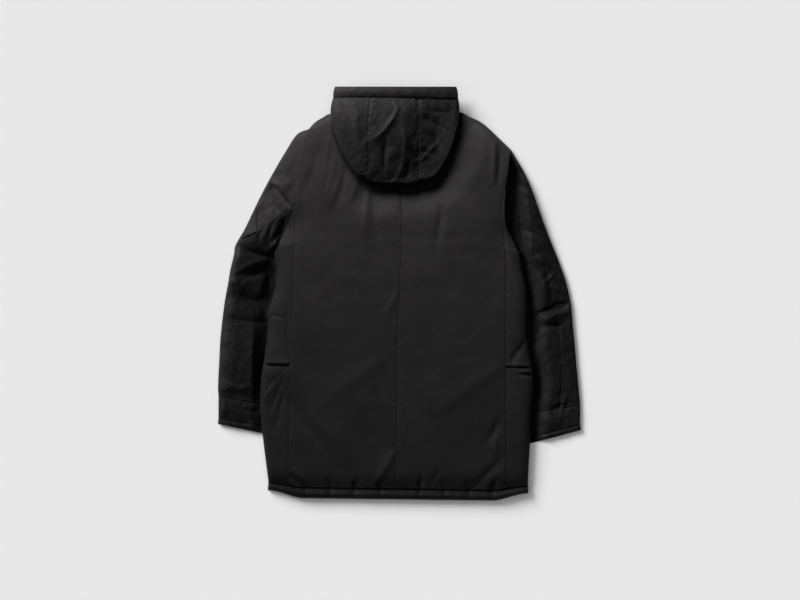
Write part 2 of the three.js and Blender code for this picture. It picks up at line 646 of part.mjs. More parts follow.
// The face opening's hem, rolled over: rows over the top, round the edge and back underneath
function hoodBand() {
  const row = HOOD_ROWS[0];
  const section = [
    ...BAND_ROWS.map((y, k) => ({ y, z: BAND_TOP[k], inner: BAND_SLIT + SLIT / 2 })),
    { ...BAND_NOSE, inner: BAND_SLIT, back: BAND_END_INSET },
    { ...BAND_UNDER, inner: BAND_SLIT - SLIT / 2 },
    { ...BAND_END, inner: BAND_SLIT - SLIT / 2 },
  ];
  const across = (i, j) => {
    const { y } = section[i];
    const { most, over } = BAND_NARROWING;
    const narrow = most * (1 - rounded(BAND_NOSE.y + 2 - y, over));
    return lerp(row.xl + narrow, row.xr - narrow, (hoodX(row, j) - row.xl) / (row.xr - row.xl));
  };
  return wall("hood_band", 1.08, {
    rows: section.length - 1,
    columns: HOOD_ALL,
    outer: (i, j) => {
      const edge = Math.min(j, HOOD_ALL - j);
      const drop = i < BAND_ROWS.length ? (section[i].z - BAND_SLIT - 2) * (edge ? 0 : 1) : 0;
      return vec(across(i, j), section[i].y, section[i].z - drop);
    },
    inner: (i, j) => {
      const edge = BAND_END_INSET * (j === 0 ? 1 : j === HOOD_ALL ? -1 : 0);
      return vec(across(i, j) + edge, section[i].y - (section[i].back ?? 0), section[i].inner);
    },
    keep: () => true,
  });
}

// The hood's hidden layers, as one rounded solid inside its shell
function hoodFold() {
  const rows = HOOD_ROWS.slice(0, -2).map((row, k) => {
    const inset = HOOD_INSET * (k === HOOD_JOIN.right ? 2 : 1);
    const y = k === 0 ? row.y + FOLD_PAST_SHELL : row.y;
    return { y, xl: row.xl + inset, xr: row.xr - inset, source: row };
  });
  const last = rows.length - 1;
  const x = (i, j) => lerp(rows[i].xl, rows[i].xr, j / FOLD_COLUMNS);
  const ceiling = (i, j) => {
    const { source } = rows[i];
    const shell = hoodTop(source, x(i, j)) - HOOD_WALL - FOLD_CLEARANCE;
    return i < 2 ? Math.min(shell, BAND_END.z - FOLD_GAP) : shell;
  };
  const isRim = (i, j) => i === 0 || i === last || j === 0 || j === FOLD_COLUMNS;
  return wall("hood_fold", 0.8, {
    rows: last,
    columns: FOLD_COLUMNS,
    outer: (i, j) => vec(x(i, j), rows[i].y, isRim(i, j) ? FOLD_BOTTOM + FOLD_ROUND : ceiling(i, j)),
    inner: (i, j) => {
      const inX = j === 0 ? FOLD_ROUND : j === FOLD_COLUMNS ? -FOLD_ROUND : 0;
      const inY = i === 0 ? -FOLD_ROUND : i === last ? FOLD_ROUND : 0;
      return vec(x(i, j) + inX, rows[i].y + inY, FOLD_BOTTOM);
    },
    keep: () => true,
  });
}

const hoodSide = (side) => (i, j) =>
  side === "left"
    ? i < HOOD_JOIN.left && j < HOOD_COLUMNS
    : i < HOOD_JOIN.right && j >= 2 * HOOD_COLUMNS;

const hood = [
  hoodPanel("hood_left", 1.02, hoodSide("left")),
  hoodPanel("hood_centre", 1.06, (i, j) => within(j, HOOD_COLUMNS, 2 * HOOD_COLUMNS)),
  hoodPanel("hood_right", 1, hoodSide("right")),
  hoodBand(),
  hoodFold(),
];

// The front collar: a stack of soft layers between the neckline and the hood's edge
function collar() {
  const { left, right, top, columns, round } = COLLAR;
  const ring = 2 * columns + 2;
  const outline = (k, inset) => {
    const north = k <= columns;
    const share = (north ? k : ring - 1 - k) / columns;
    const x = lerp(left + inset, right - inset, share);
    const ends = share === 0 || share === 1;
    if (north) return vec(x, top - inset - (ends ? round : 0), 0);
    return vec(x, along(TOP_LINE, "x", "y", x) + 1.5 + inset / 2 + (ends ? round / 2 : 0), 0);
  };
  const positions = [];
  COLLAR_LAYERS.forEach(({ inset, z }) => {
    for (let k = 0; k < ring; k++) positions.push(...outline(k, inset).setZ(z).toArray());
  });
  const faces = [];
  for (let layer = 0; layer < COLLAR_LAYERS.length - 1; layer++)
    for (let k = 0; k < ring; k++) {
      const [a, b] = [layer * ring + k, layer * ring + ((k + 1) % ring)];
      faces.push([a, b, b + ring], [a, b + ring, a + ring]);
    }
  const cap = (base, flip) => {
    for (let k = 0; k < columns; k++) {
      const quad = [base + k, base + k + 1, base + ring - 2 - k, base + ring - 1 - k];
      const pair = [
        [quad[0], quad[1], quad[2]],
        [quad[0], quad[2], quad[3]],
      ];
      pair.forEach((face) => faces.push(flip ? face.reverse() : face));
    }
  };
  cap(0, true);
  cap((COLLAR_LAYERS.length - 1) * ring, false);
  const at = (k) => vec(...positions.slice(3 * k, 3 * k + 3));
  const volume = faces.reduce((sum, [a, b, c]) => sum + at(a).dot(at(b).cross(at(c))), 0);
  if (volume < 0) faces.forEach((face) => face.reverse());
  const geometry = new THREE.BufferGeometry();
  geometry.setAttribute("position", new THREE.Float32BufferAttribute(positions, 3));
  geometry.setIndex(faces.flat());
  const mesh = new THREE.Mesh(geometry, material(0.85));
  mesh.name = "collar_front";
  return mesh;
}

const parka = new THREE.Group();
parka.name = "parka";
parka.add(...body, ...sleeve("left"), ...sleeve("right"), sleevePocket(), ...hood, collar());
export default parka;
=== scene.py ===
# A padded, hooded parka laid flat with its back upwards, dressed over its CAD frame. Tables are in
# millimetres, in the part's own frame: +X right, +Y towards the hood, +Z up, the floor at 0.
import bpy
import numpy as np
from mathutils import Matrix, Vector


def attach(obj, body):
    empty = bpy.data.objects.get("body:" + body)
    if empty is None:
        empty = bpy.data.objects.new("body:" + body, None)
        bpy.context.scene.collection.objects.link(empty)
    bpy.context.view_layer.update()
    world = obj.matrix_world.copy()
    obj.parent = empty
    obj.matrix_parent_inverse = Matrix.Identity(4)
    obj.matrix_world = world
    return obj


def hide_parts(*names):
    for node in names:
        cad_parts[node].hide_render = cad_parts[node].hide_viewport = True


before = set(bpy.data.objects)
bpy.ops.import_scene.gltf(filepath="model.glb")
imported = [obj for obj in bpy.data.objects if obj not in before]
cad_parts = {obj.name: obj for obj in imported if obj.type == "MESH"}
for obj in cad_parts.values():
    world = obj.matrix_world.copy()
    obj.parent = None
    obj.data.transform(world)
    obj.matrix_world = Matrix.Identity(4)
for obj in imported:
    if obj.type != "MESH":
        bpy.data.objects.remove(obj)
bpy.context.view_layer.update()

MM = 0.001

# Walls
SLIT = 0.8  # between the back and the front layer inside a flat tube
LAYER_SHARE = 0.45  # the lower layer's share of a tube's height
INNER_INSET = 5  # how far the inner face stays in from a folded edge
INSET_REACH = 60  # distance over which that inset runs out
WALL_MIN = 1.5
# How far in from an edge the creases and lumps come to their full height
DETAIL_REACH = {"back": 14, "side": 10, "sleeve": 9, "hood": 16}

# Seams: the groove's depth, how far the padding falls beside it and how high it puckers
SEAM = (0.5, 0.9, 0.25)
HEM_SEAM = (1.5, 1.3, 0.3)
HOOD_SEAM = (0.3, 0.9, 0.8)
QUIET = (0.6, 0.3, 0.0)
GAP = 0.15  # half the gap between two sewn panels
GROOVE_REACH = 1.9
PADDING_REACH = 11
PUCKER = {"from": 5, "reach": 5, "tail": 14, "tail_share": 0.35}
STITCH = {"length": 2.7, "gap": 1.5, "width": 0.55, "height": 0.35, "lift": 0.12}

# Grid steps
FINE = 2.6
COARSE = 9
RAMP = [0, 0.5, 1.1, 1.9, 2.9, 4.2, 5.9]  # distances from a seam of the lines beside it

# Photograph: what a pixel measures on the floor, and the pixel above the frame's origin
PIXEL = 2.2
ORIGIN_PIXEL = (399.5, 294)
PHOTO_CENTRE = (400, 300)

# Body
BODY_NOSE = 12  # height of the folded edge itself
BODY_EDGE_RADIUS = 14  # how far in from it the upper face is rounded, and the lower face
BODY_UNDER_RADIUS = 6
FLY_HALF_WIDTH = 32
HEM_CORNER_SHARE = 0.14  # the share of the hem's width on which each corner curves up
FRONT_NECK_DROP = 62  # the front's neckline below the back's, its middle and its half width as shares
NECK_CENTRE_SHARE = 0.47
NECK_HALF_SHARE = 0.3
ARMHOLE_REACH = 60  # how far in from an armhole the body rises to its own height
# Where the hood lies on the back, and how high the back may reach there
UNDER_HOOD = {"inside": (-8, 2), "above": (218, 230), "height": 23.4}
BACK_WALL = 1  # thickness that the back keeps at least, and the front
FRONT_WALL = 2.5
# Slow waves of the padding, which run across and along the back
BILLOW = {"height": 1.1, "across": 47, "shift": 0.6, "along": 61, "skew": 160}
POCKET_LIP = {"left": 2.6, "right": 2}  # how far the pocket's upper lip stands up
POCKET_DROP = {"left": 4.2, "right": 2.6}  # how far the cloth below it falls away
LIP_GROOVE = {"upper": 1.2, "lower": 2.4}  # the groove between the two
LIP_REACH = 7  # how far from the pocket's mouth both run out, and the groove
LIP_GROOVE_REACH = 1.6
LIP_END = 12  # how far in from the folded edge they come to their full height
EDGE_WIDE = {"left": 34, "right": 24}  # rounding of the body's edges where they slope widely

# Rows from the hem's lower edge to the neck: y at the left and the right edge, x of the left edge, the
# left seam, the centre seam, the right seam and the right edge, how far the middle hangs below the
# corners, the share of the neck and shoulder line's curve, and the height
BODY_COLUMNS = ("yl", "yr", "xl", "sl", "c", "sr", "xr", "sag", "rise", "h")
BODY_ROWS = [
    (-431, -438, -289, -242, -8, 236, 282, -16.5, 0, 15),
    (-423, -431, -289, -242, -8, 236, 283, -15, 0, 22),
    (-414, -422, -288, -242, -8, 236, 282, -11, 0, 18.5),
    (-388, -390, -291, -243, -8, 235, 283, -4, 0, 24),
    (-332, -332, -298, -243, -7, 234, 286, 0, 0, 24.5),
    (-266, -266, -305, -243, -6, 233, 288, 0, 0, 25),
    (-211, -211, -305, -243, -6, 233, 294, 0, 0, 25.5),
    (-174, -176, -302, -242, -6, 233, 293, 0, 0, 25.5),
    (-152, -159, -298, -242, -6, 233, 290, 0, 0, 25.5),
    (-123, -123, -294, -241, -6, 233, 283, 0, 0, 25.5),
    (-79, -79, -289, -239, -4, 233, 279, 0, 0, 25.5),
    (-31, -31, -285, -235, -2, 233, 280, 0, 0, 25.5),
    (9, 9, -273, -234, 0, 233, 278, 0, 0, 25),
    (53, 50, -270, -232, 2, 233, 269, 0, 0, 25),
    (97, 86, -276, -231, 3, 232, 263, 0, 0, 24.5),
    (119, 101, -263, -230, 4, 231, 256, 0, 0, 24.5),
    (138, 119, -254, -230, 4, 230, 248, 0, 0, 24),
    (158, 136, -243, -230, 5, 228, 239, 0, 0, 24),
    (180, 152, -235, -233.5, 5, 227, 232, 0, 0, 23.5),
    (200, 174, -226, -226, 5, 226, 230, 0, 0.02, 23),
    (229, 196, -223, -223, 4, 225, 230, 0, 0.07, 22.5),
    (262, 229, -220, -220, 3, 230.5, 232, 0, 0.18, 22.5),
    (295, 262, -216, -216, 2, 237, 237, 0, 0.35, 22.5),
    (328, 288, -210, -210, 0, 240, 240, 0, 0.56, 22.5),
    (353, 307, -203, -203, 0, 243, 243, 0, 0.84, 20),
    (363, 317, -199, -199, 0, 245, 245, 0, 1, 10.5),
]
HEM_ROW = 2  # the seam of the hem's casing, the pocket's mouth, the underarm and the neck
POCKET_ROW = 8
UNDERARM_ROW = 14
TOP_ROW = len(BODY_ROWS) - 1
JOIN_ROW = {"left": 18, "right": 21}  # where a side panel ends in the armhole
# Widths for which the columns of the grids are laid out
BACK_WIDTH = 240
FRONT_WIDTH = {"left": 200, "right": 205, "fly": 64}
SIDE_WIDTH = 48
# A side panel's last columns before its fold, and those below it, from the fold on
SIDE_BEFORE_FOLD = (45.2, 46.6, 47.4)
SIDE_BELOW = (0.6, 1.8, 3.4, 6, 12, 20, 28, 36, 42, 48)
# Hem casing. HEM_BACK and HEM_UNDER are places on the body's rows, above and below. HEM_TURN has how far
# each line between them stands out, and its share of the last one's height. "walls" are how far in the
# inner face stays at the end of the upper face and at the first line of the turn, and the step to the next.
HEM = {"width": 570, "bulge": 9.5, "roundness": 0.6, "bulge_share": 0.6, "pucker": 0.35, "groove": 1.5,
       "groove_rows": 0.09, "slit_below": 18, "walls": (3.4, 4, 0.6), "inner_share": 0.985,
       "stitching": 20.5}
HEM_BACK = (2, 1.93, 1.82, 1.66, 1.45, 1.2, 0.95, 0.7, 0.48, 0.3, 0.16, 0.06, 0)
HEM_TURN = ((0.4, 0.78), (0.6, 0.5), (0.2, 0.25), (-0.8, 0.08))
HEM_UNDER = (0.3, 0.8, 1.4, 2.0)
# The line from the left armhole over the shoulders and the neck to the right armhole
TOP_LINE = [
    (-199, 363), (-186, 377), (-170, 387), (-150, 396), (-105, 392), (-10, 384), (85, 394),
    (131, 400), (155, 389), (179, 378), (199, 361), (221, 340), (245, 317),
]

# Sleeves. Columns run from the inner end of a ring, beside the body, over the top to its outer end.
ARMHOLE_TOP = (10, 11, 13.5, 17, 20.5, 22, 22, 22, 22, 21.5, 18, 8)  # heights along the armhole
ARM_COLUMNS = len(ARMHOLE_TOP) - 1
SEAM_COLUMN = 5  # the seam between the outer and the inner panel on top, and the one below
FORE_COLUMN = 6
SLEEVE_VALLEY = {"left": (0, 27), "right": (14, 48)}  # where it rises from beside the body
ARMHOLE_DIP = {"left": 1.5, "right": 19}  # the hollow in which a sleeve starts beside the body
DIP_FADE = (26, 92)  # the distances from the armhole between which that hollow runs out
SLEEVE_EDGE_RADIUS = 17  # rounding of the outer edge, above and below
SLEEVE_UNDER_RADIUS = 7
SLEEVE_NOSE = 8  # height of that edge itself
# The way out from the middle, and the columns of the body's edge
SIGN = {"left": -1, "right": 1}
EDGE_COLUMNS = {"left": ("xl", "yl"), "right": ("xr", "yr")}
UNDERARM_RISE = 2  # how far a sleeve's first point lies above the body's underarm
TUCK = 3  # how far a sleeve reaches in under the body's edge, and its height there
TUCKED_NOSE = 3
TUCK_RINGS = 1.5
FREE_GAP = 2.6  # between the sleeve and the body at the underarm
# The lines of a sleeve's grids, as places round it: the last ones before its outer edge, and those below
SLEEVE_WIDTH = {"top": 72, "under": 66, "cuff": 140}
TOP_BEFORE_EDGE = (0.55, 0.34, 0.16, 0)
TOP_BELOW = (0.12, 0.3, 0.6, 1, 1.6, 2.4, 3.2, 4, 4.6, 4.9, 5)
UNDER_BELOW = (0, 0.02, 0.08, 0.2, 0.36, 0.52, 0.68, 0.8, 0.9, 0.96)
CUFF_BELOW = (0.15, 0.5, 1.2, 2.4, 4, 6, 8, 9.6, 10.4, 10.8)
CUFF_STEP = 2
BOW_RINGS = 4  # how many rings follow the armhole's curve, and its heights
FADE_RINGS = 3
# Rings from the armhole to the cuff: y of the inner end, x and y of the outer end, the height, and the
# share of the width at which the seam lies
RING_COLUMNS = ("iy", "ox", "oy", "h", "seam")
SLEEVE_RINGS = {
    "left": [
        (97, -199, 363, 22, 0.5), (93.5, -226, 350, 23, 0.443), (90, -252, 310, 24, 0.447),
        (87, -274, 273, 25, 0.451), (83.5, -296, 233, 26, 0.465), (80, -318, 189, 27, 0.563),
        (77, -339, 145, 26, 0.703), (72.5, -360, 108, 17, 0.856), (58, -364, 86, 27, 0.88),
        (31, -372, 53, 25, 0.87), (6, -377, 22, 24, 0.85), (-20, -383, -9, 21, 0.82),
        (-42, -387, -37, 23, 0.79), (-64, -390, -62, 20, 0.77), (-101, -394, -101, 24, 0.75),
        (-134, -396, -141, 24, 0.74), (-172, -398, -180, 23, 0.73), (-205, -399, -207, 22, 0.72),
        (-242, -398, -224, 17, 0.71), (-266, -398, -251, 20, 0.71), (-289, -398, -273, 14.5, 0.71),
        (-299, -399, -280, 18, 0.71), (-307, -399, -286, 12, 0.71),
    ],
    "right": [
        (86, 245, 317, 22, 0.5), (82.5, 254, 301, 23, 0.5), (77, 272, 271, 24, 0.5),
        (70, 289, 235, 25, 0.5), (62, 305, 191, 26, 0.5), (51, 322, 143, 27, 0.5),
        (37, 338, 102, 27, 0.5), (22, 353, 64, 25, 0.52), (-2, 366, 26, 26, 0.57),
        (-40, 376, -18, 16, 0.62), (-57, 379, -42, 25, 0.66), (-77, 381, -68, 20, 0.7),
        (-112, 385, -108, 25, 0.7), (-145, 388, -145, 25, 0.68), (-178, 391, -178, 24, 0.64),
        (-213, 394, -211, 23, 0.62), (-262, 397, -244, 17, 0.6), (-288, 397, -262, 20, 0.6),
        (-315, 397, -286, 14.5, 0.6), (-324, 398, -293, 18, 0.6), (-330, 399, -299, 12, 0.6),
    ],
}
# The share of a sleeve's height that is left at its inner and outer edges, above the elbow and below,
# and the share of its width at which the crest begins and ends
SLEEVE_TILT = {
    "left": {"inner": (1, 0.5), "from": 0.85, "outer": (0.5, 1), "to": (0.35, 0.85)},
    "right": {"inner": (0.62, 0.75), "from": 1, "outer": (0.65, 0.42), "to": (0.3, 0.2)},
}
TILT_RINGS = (4, 8)
# The rings at which a sleeve is cut
SLEEVE_CUTS = {
    "left": {"elbow": 13, "cuff": 18, "band": 20},
    "right": {"elbow": 11, "cuff": 16, "band": 18},
}
# The sleeve's pocket, of which one corner shows: its near and far edge, each from top to bottom
POCKET_PATCH = {
    "near": ((-315, 192), (-313, 135)),
    "far": ((-318, 185), (-344, 122)),
    "width": 28,
    "length": 60,
    "lift": 0.5,
    "thickness": 1.3,
}

# Hood. Rows from the band down: y, x of the left rim, both seams and the right rim, and the height.
HOOD_COLUMNS = ("y", "xl", "sl", "sr", "xr", "h")
HOOD_ROWS = [
    (429, -145, -63, 42, 128, 44), (409, -150, -65, 42, 131, 52), (388, -150, -67, 42, 130, 56),
    (364, -145, -69, 42, 125, 57), (338, -136, -69, 42, 118, 56), (317, -128, -68, 42, 111, 53.5),
    (295, -116, -68, 42, 101, 49.5), (273, -102, -70, 42, 87, 44.5), (260, -90, -73, 42, 76, 40.3),
    (252, -76, -73, 42, 58, 37.6), (246, -58, -58, 38, 42, 35.6), (243, -38, -38, 24, 26, 34.5),
]
HOOD_LAST = len(HOOD_ROWS) - 1
HOOD_JOIN = {"left": 8, "right": 9}
HOOD_STEP = 2.2
# The hood's panels: the row where each ends, the lines between which it lies, its width, the way in from
# its rim (to the right, none or to the left) and its seams
HOOD_PANELS = {
    "hood_left": {"last": HOOD_JOIN["left"], "from": "xl", "to": "sl", "width": 80, "inwards": 1,
                  "seams": ("last_column",)},
    "hood_centre": {"last": HOOD_LAST, "from": "sl", "to": "sr", "width": 108, "inwards": 0,
                    "seams": ("first_column", "last_column")},
    "hood_right": {"last": HOOD_JOIN["right"], "from": "sr", "to": "xr", "width": 86, "inwards": -1,
                   "seams": ("first_column",)},
}
HOOD_RIM = 35  # height of the shell's rim, and how far in from it the shell is rounded
HOOD_EDGE_RADIUS = 45
# How far the back sinks beside the hood, from near it to far from it, as seen from the hood's middle
HOOD_HOLLOW = {"depth": 10.5, "near": 16, "far": 84, "middle": (-10, 330)}
# The hood sinks to the right, by a slope from a place in x on, and within a distance below its band
HOOD_LEAN = ({"from": -60, "slope": 0.05, "within": 1}, {"from": 10, "slope": 0.2, "within": 60})
HOOD_DOME = 0.35  # how far the crown is domed all the way across
HOOD_WALL = 6
HOOD_WALL_REACH = 24  # how far in from the rim the wall's inner face stands in from it
# The face opening's band. BAND is its section in the columns y and z, from the shell over the top and
# back below; its ends narrow towards the front.
BAND = [
    (426, 41), (429, 43.6), (432, 45), (437, 45.8), (442, 45.4), (446, 44), (450, 41.6), (452.4, 38.6),
    (452.6, 36), (450, 33), (445, 31), (431, 30.5),
]
BAND_TOP_ROWS = 7
BAND_WIDTH = 273
BAND_STEP = 2.4
BAND_END_TOP = 35
BAND_ENDS = {"narrowing": 8, "front": 455, "reach": 24}
BAND_SLIT = {"middle": 35, "ends": 32, "reach": 26, "front": 449, "share": 0.975}
BAND_WALL = 1.2
BAND_PUCKER = 0.8
# The hood's hidden layers: how many rows before the right join they end, how far they stay in from the
# shell's rim, back from the band and below the shell, and their own height at the bottom and under the band
FOLD = {"rows_off": 0.6, "width": 250, "step": 4, "inset": 9, "setback": 12, "clearance": 4, "bottom": 24,
        "under_band": 29.4, "rim": 3, "rim_radius": 6}
COLLAR = {"left": -128, "right": 112, "top": 443, "height": 23, "middle": 418, "lift": 0.2}
COLLAR_LAYERS = {"count": 3, "inset": 4.5, "wander": 1.2, "around": 120, "rings": 26}
COLLAR_CAP = (0.85, 0.5, 0.12)  # shares of the width at which rings close it above and below


# Small helpers
def table(rows, columns):
    return {name: np.array([row[k] for row in rows], float) for k, name in enumerate(columns)}


BODY = table(BODY_ROWS, BODY_COLUMNS)
RINGS = {side: table(rows, RING_COLUMNS) for side, rows in SLEEVE_RINGS.items()}
HOOD = table(HOOD_ROWS, HOOD_COLUMNS)


def curve(values, t):
    """Smooth interpolation of numbered values at the places t."""
    values = np.asarray(values, float)
    last = len(values) - 1
    t = np.clip(np.asarray(t, float), 0, last)
    k = np.minimum(t.astype(int), last - 1)
    f = t - k
    ends = ([2 * values[0] - values[1]], values, [2 * values[-1] - values[-2]])
    p0, p1, p2, p3 = (np.concatenate(ends)[k + n] for n in range(4))
    bend = (p2 - p0) * f + (2 * p0 - 5 * p1 + 4 * p2 - p3) * f**2 + (3 * (p1 - p2) + p3 - p0) * f**3
    return p1 + bend / 2


def values_at(named, places):
    """Each column of a table at the given places along its rows."""
    return {name: curve(values, places) for name, values in named.items()}


def xyz(x, y, z):
    return np.stack([x, y, z], axis=-1)


def lerp(a, b, t):
    return a + (b - a) * t


def smooth(x, low, high):
    t = np.clip((x - low) / (high - low), 0, 1)
    return t * t * (3 - 2 * t)


def rounded(d, radius):
    return np.sqrt(1 - (1 - np.clip(d / radius, 0, 1)) ** 2)


def finer(points):
    """A point list made smooth for interpolation."""
    points = np.array(points, float)
    t = np.linspace(0, len(points) - 1, 8 * len(points))
    return curve(points[:, 0], t), curve(points[:, 1], t)


TOP_X, TOP_Y = finer(TOP_LINE)


def spread(length, step, both=True):
    """Distances from 0 to length, a step apart and closer beside a seam."""
    start = np.array(RAMP)
    if length < 4 * RAMP[-1]:
        return np.linspace(0, length, max(4, round(length / 1.5)))
    end = length - start[::-1] if both else np.array([length])
    count = max(2, round((end[0] - start[-1]) / step))
    return np.concatenate([start, np.linspace(start[-1], end[0], count + 1)[1:-1], end])


def stations(values, first, last, step):
    """Places from first to last along a numbered table, evenly apart on the cloth."""
    t = np.linspace(first, last, 1200)
    track = np.array([curve(v, t) for v in values])
    length = np.concatenate([[0], np.cumsum(np.hypot(*np.diff(track, axis=1)))])
    return np.interp(spread(length[-1], step), length, t)


class Noise:
    """Smooth noise in the plane, from a fixed lattice."""

    def __init__(self, seed):
        self.lattice = np.random.default_rng(seed).uniform(-1, 1, (61, 61))

    def __call__(self, x, y, size):
        u, v = x / size, y / size
        i, j = np.floor(u).astype(int), np.floor(v).astype(int)
        f, g = u - i, v - j
        f, g = f * f * (3 - 2 * f), g * g * (3 - 2 * g)
        at = lambda a, b: self.lattice[(i + a) % 61, (j + b) % 61]
        return lerp(lerp(at(0, 0), at(1, 0), f), lerp(at(0, 1), at(1, 1), f), g)


soft_noise = Noise(3)
fine_noise = Noise(7)


def crumple(x, y, size):
    """Flat facets between sharp valleys, as in pressed nylon."""
    return np.abs(soft_noise(0.8 * x + 0.6 * y, 0.8 * y - 0.6 * x, size)) - 0.3


def from_photo(x, y):
    """Millimetres in plan for photograph pixels."""
    return (np.asarray(x) - ORIGIN_PIXEL[0]) * PIXEL, (ORIGIN_PIXEL[1] - np.asarray(y)) * PIXEL


# Creases: soft ridges (height above 0) and troughs (below 0). The columns are the height, the half width
# on the left and on the right of one walking along it, in millimetres, and the photograph pixels along it.
BODY_CREASES = [
    (2.2, 9, 9, [(330, 130), (326, 165), (320, 205)]), (1.8, 6, 8, [(336, 150), (332, 178), (325, 205)]),
    (-2.4, 8, 8, [(345, 165), (344, 180), (339, 202)]), (1.6, 8, 8, [(341, 176), (334, 194), (325, 214)]),
    (-1.6, 9, 9, [(318, 150), (313, 172), (305, 196)]), (2, 7, 7, [(357, 180), (354, 192), (350, 203)]),
    (3, 10, 7, [(368, 188), (366, 210), (364, 236)]), (-2.6, 8, 8, [(372, 203), (375, 220), (379, 242)]),
    (-2.6, 9, 9, [(441, 203), (440, 222), (436, 247)]), (2.4, 7, 6, [(494, 140), (494, 160), (493, 184)]),
    (-2, 5, 5, [(499, 142), (499, 165), (497, 186)]), (1.5, 17, 17, [(387, 354), (360, 376), (328, 397)]),
    (1.6, 16, 16, [(503, 365), (490, 373), (466, 390), (440, 410)]),
    (1.6, 9, 9, [(398, 290), (393, 302), (384, 316)]), (2, 9, 9, [(397, 448), (386, 466), (372, 488)]),
    (-2.4, 14, 14, [(293, 404), (305, 423), (320, 440), (352, 487)]),
    (1.4, 5, 5, [(292, 468), (297, 472), (303, 480)]), (-1.6, 4, 4, [(290, 474), (294, 478), (299, 484)]),
    (-2.4, 9, 9, [(501, 459), (490, 470), (472, 489)]), (-2, 8, 8, [(499, 418), (494, 430), (486, 442)]),
    (1.8, 6, 6, [(496, 438), (495, 447), (497, 457)]), (-1.6, 4, 4, [(421, 474), (420, 481), (418, 489)]),
    (-1.4, 6, 6, [(303, 479), (305, 488), (307, 500)]), (-2, 6, 6, [(329, 479), (330, 488), (331, 500)]),
    (-2.6, 7, 7, [(357, 479), (355, 488), (353, 500)]), (-2, 6, 6, [(378, 479), (380, 488), (382, 500)]),
    (-2, 5, 5, [(422, 479), (420, 488), (418, 500)]), (-1.4, 7, 7, [(443, 479), (444, 488), (445, 500)]),
    (-2.2, 6, 6, [(465, 479), (468, 488), (471, 500)]), (-2.8, 7, 7, [(495, 479), (493, 488), (491, 500)]),
    (-1.4, 5, 5, [(438, 467), (436, 475), (431, 484)]), (-2, 5, 5, [(285, 368), (277, 378), (266, 391)]),
    (-2, 5, 5, [(286, 372), (279, 390), (270, 411)]), (-1.8, 6, 5, [(287, 380), (282, 402), (275, 430)]),
    (1.6, 4, 4, [(281, 372), (272, 386), (266, 400)]), (-2.6, 3, 3, [(519, 374), (527, 375), (534, 379)]),
    (1.4, 3, 3, [(518, 371), (527, 371), (533, 374)]), (-2.6, 7, 7, [(510, 364), (517, 352), (527, 338)]),
    (-2, 6, 6, [(512, 340), (519, 350), (530, 362)]), (-2.2, 4, 5, [(288, 306), (288, 330), (289, 359)]),
    (-1.2, 4, 4, [(268, 317), (276, 316), (285, 318)]),
]
SLEEVE_CREASES = [
    (-5, 5, 4, [(238, 243), (246, 250), (257, 254), (277, 259)]),
    (3.4, 7, 6, [(238, 272), (250, 266), (265, 260)]), (-8, 12, 9, [(243, 275), (262, 271), (278, 268)]),
    (2.6, 5, 5, [(229, 279), (236, 283), (243, 288)]), (-7.5, 14, 13, [(238, 294), (256, 302), (273, 300)]),
    (-1.6, 6, 3, [(228, 319), (248, 321), (269, 322)]), (-6, 10, 10, [(271, 258), (268, 285), (263, 320)]),
    (4, 6, 20, [(255, 318), (253, 360), (254, 406)]), (2, 5, 5, [(228, 383), (240, 388), (252, 386)]),
    (-1.8, 6, 7, [(229, 391), (240, 395), (252, 398)]), (-2, 4, 4, [(238, 408), (250, 411), (262, 410)]),
    (2.6, 4, 4, [(269, 181), (275, 184), (281, 188)]), (-3, 4, 4, [(271, 183), (274, 198), (278, 216)]),
    (-3, 4, 4, [(277, 190), (283, 197), (289, 206)]), (1.2, 9, 9, [(291, 160), (286, 172), (281, 184)]),
    (-1.4, 5, 5, [(299, 172), (294, 186), (292, 202)]), (-3, 5, 5, [(274, 222), (271, 230), (269, 240)]),
    (-3, 4, 4, [(263, 230), (260, 236), (261, 243)]), (-5, 5, 6, [(288, 216), (280, 232), (272, 244)]),
    (-4, 4, 4, [(286, 200), (290, 206), (295, 209)]), (1.6, 6, 6, [(262, 200), (258, 208), (250, 218)]),
    (-7, 7, 5, [(570, 303), (556, 307), (528, 318)]), (3.4, 6, 5, [(568, 312), (556, 314), (546, 320)]),
    (-6, 10, 10, [(527, 314), (533, 326), (535, 344)]), (-2.4, 7, 7, [(536, 350), (541, 372), (540, 402)]),
    (2, 6, 6, [(570, 296), (562, 291), (548, 286)]), (3, 6, 6, [(537, 255), (542, 261), (549, 268)]),
    (-4, 4, 5, [(527, 262), (532, 266), (536, 272)]), (2.4, 5, 5, [(545, 283), (550, 278), (556, 272)]),
    (-2.4, 5, 5, [(544, 270), (548, 278), (552, 292)]), (-3, 4, 4, [(514, 169), (519, 172), (523, 174)]),
    (-3, 5, 5, [(517, 182), (523, 187), (528, 190)]), (-2.4, 4, 4, [(522, 197), (529, 201), (535, 203)]),
    (-4, 5, 5, [(520, 224), (526, 230), (540, 238)]), (2.4, 6, 6, [(528, 216), (534, 222), (541, 228)]),
    (-2, 4, 4, [(541, 325), (556, 326), (562, 325)]), (-5, 9, 8, [(534, 316), (537, 324), (538, 334)]),
    (1.6, 4, 4, [(559, 330), (562, 334), (564, 340)]), (-2.4, 4, 4, [(548, 410), (556, 407), (566, 404)]),
    (2, 5, 5, [(566, 394), (563, 404), (560, 416)]), (1.6, 4, 4, [(563, 360), (567, 366), (569, 374)]),
]
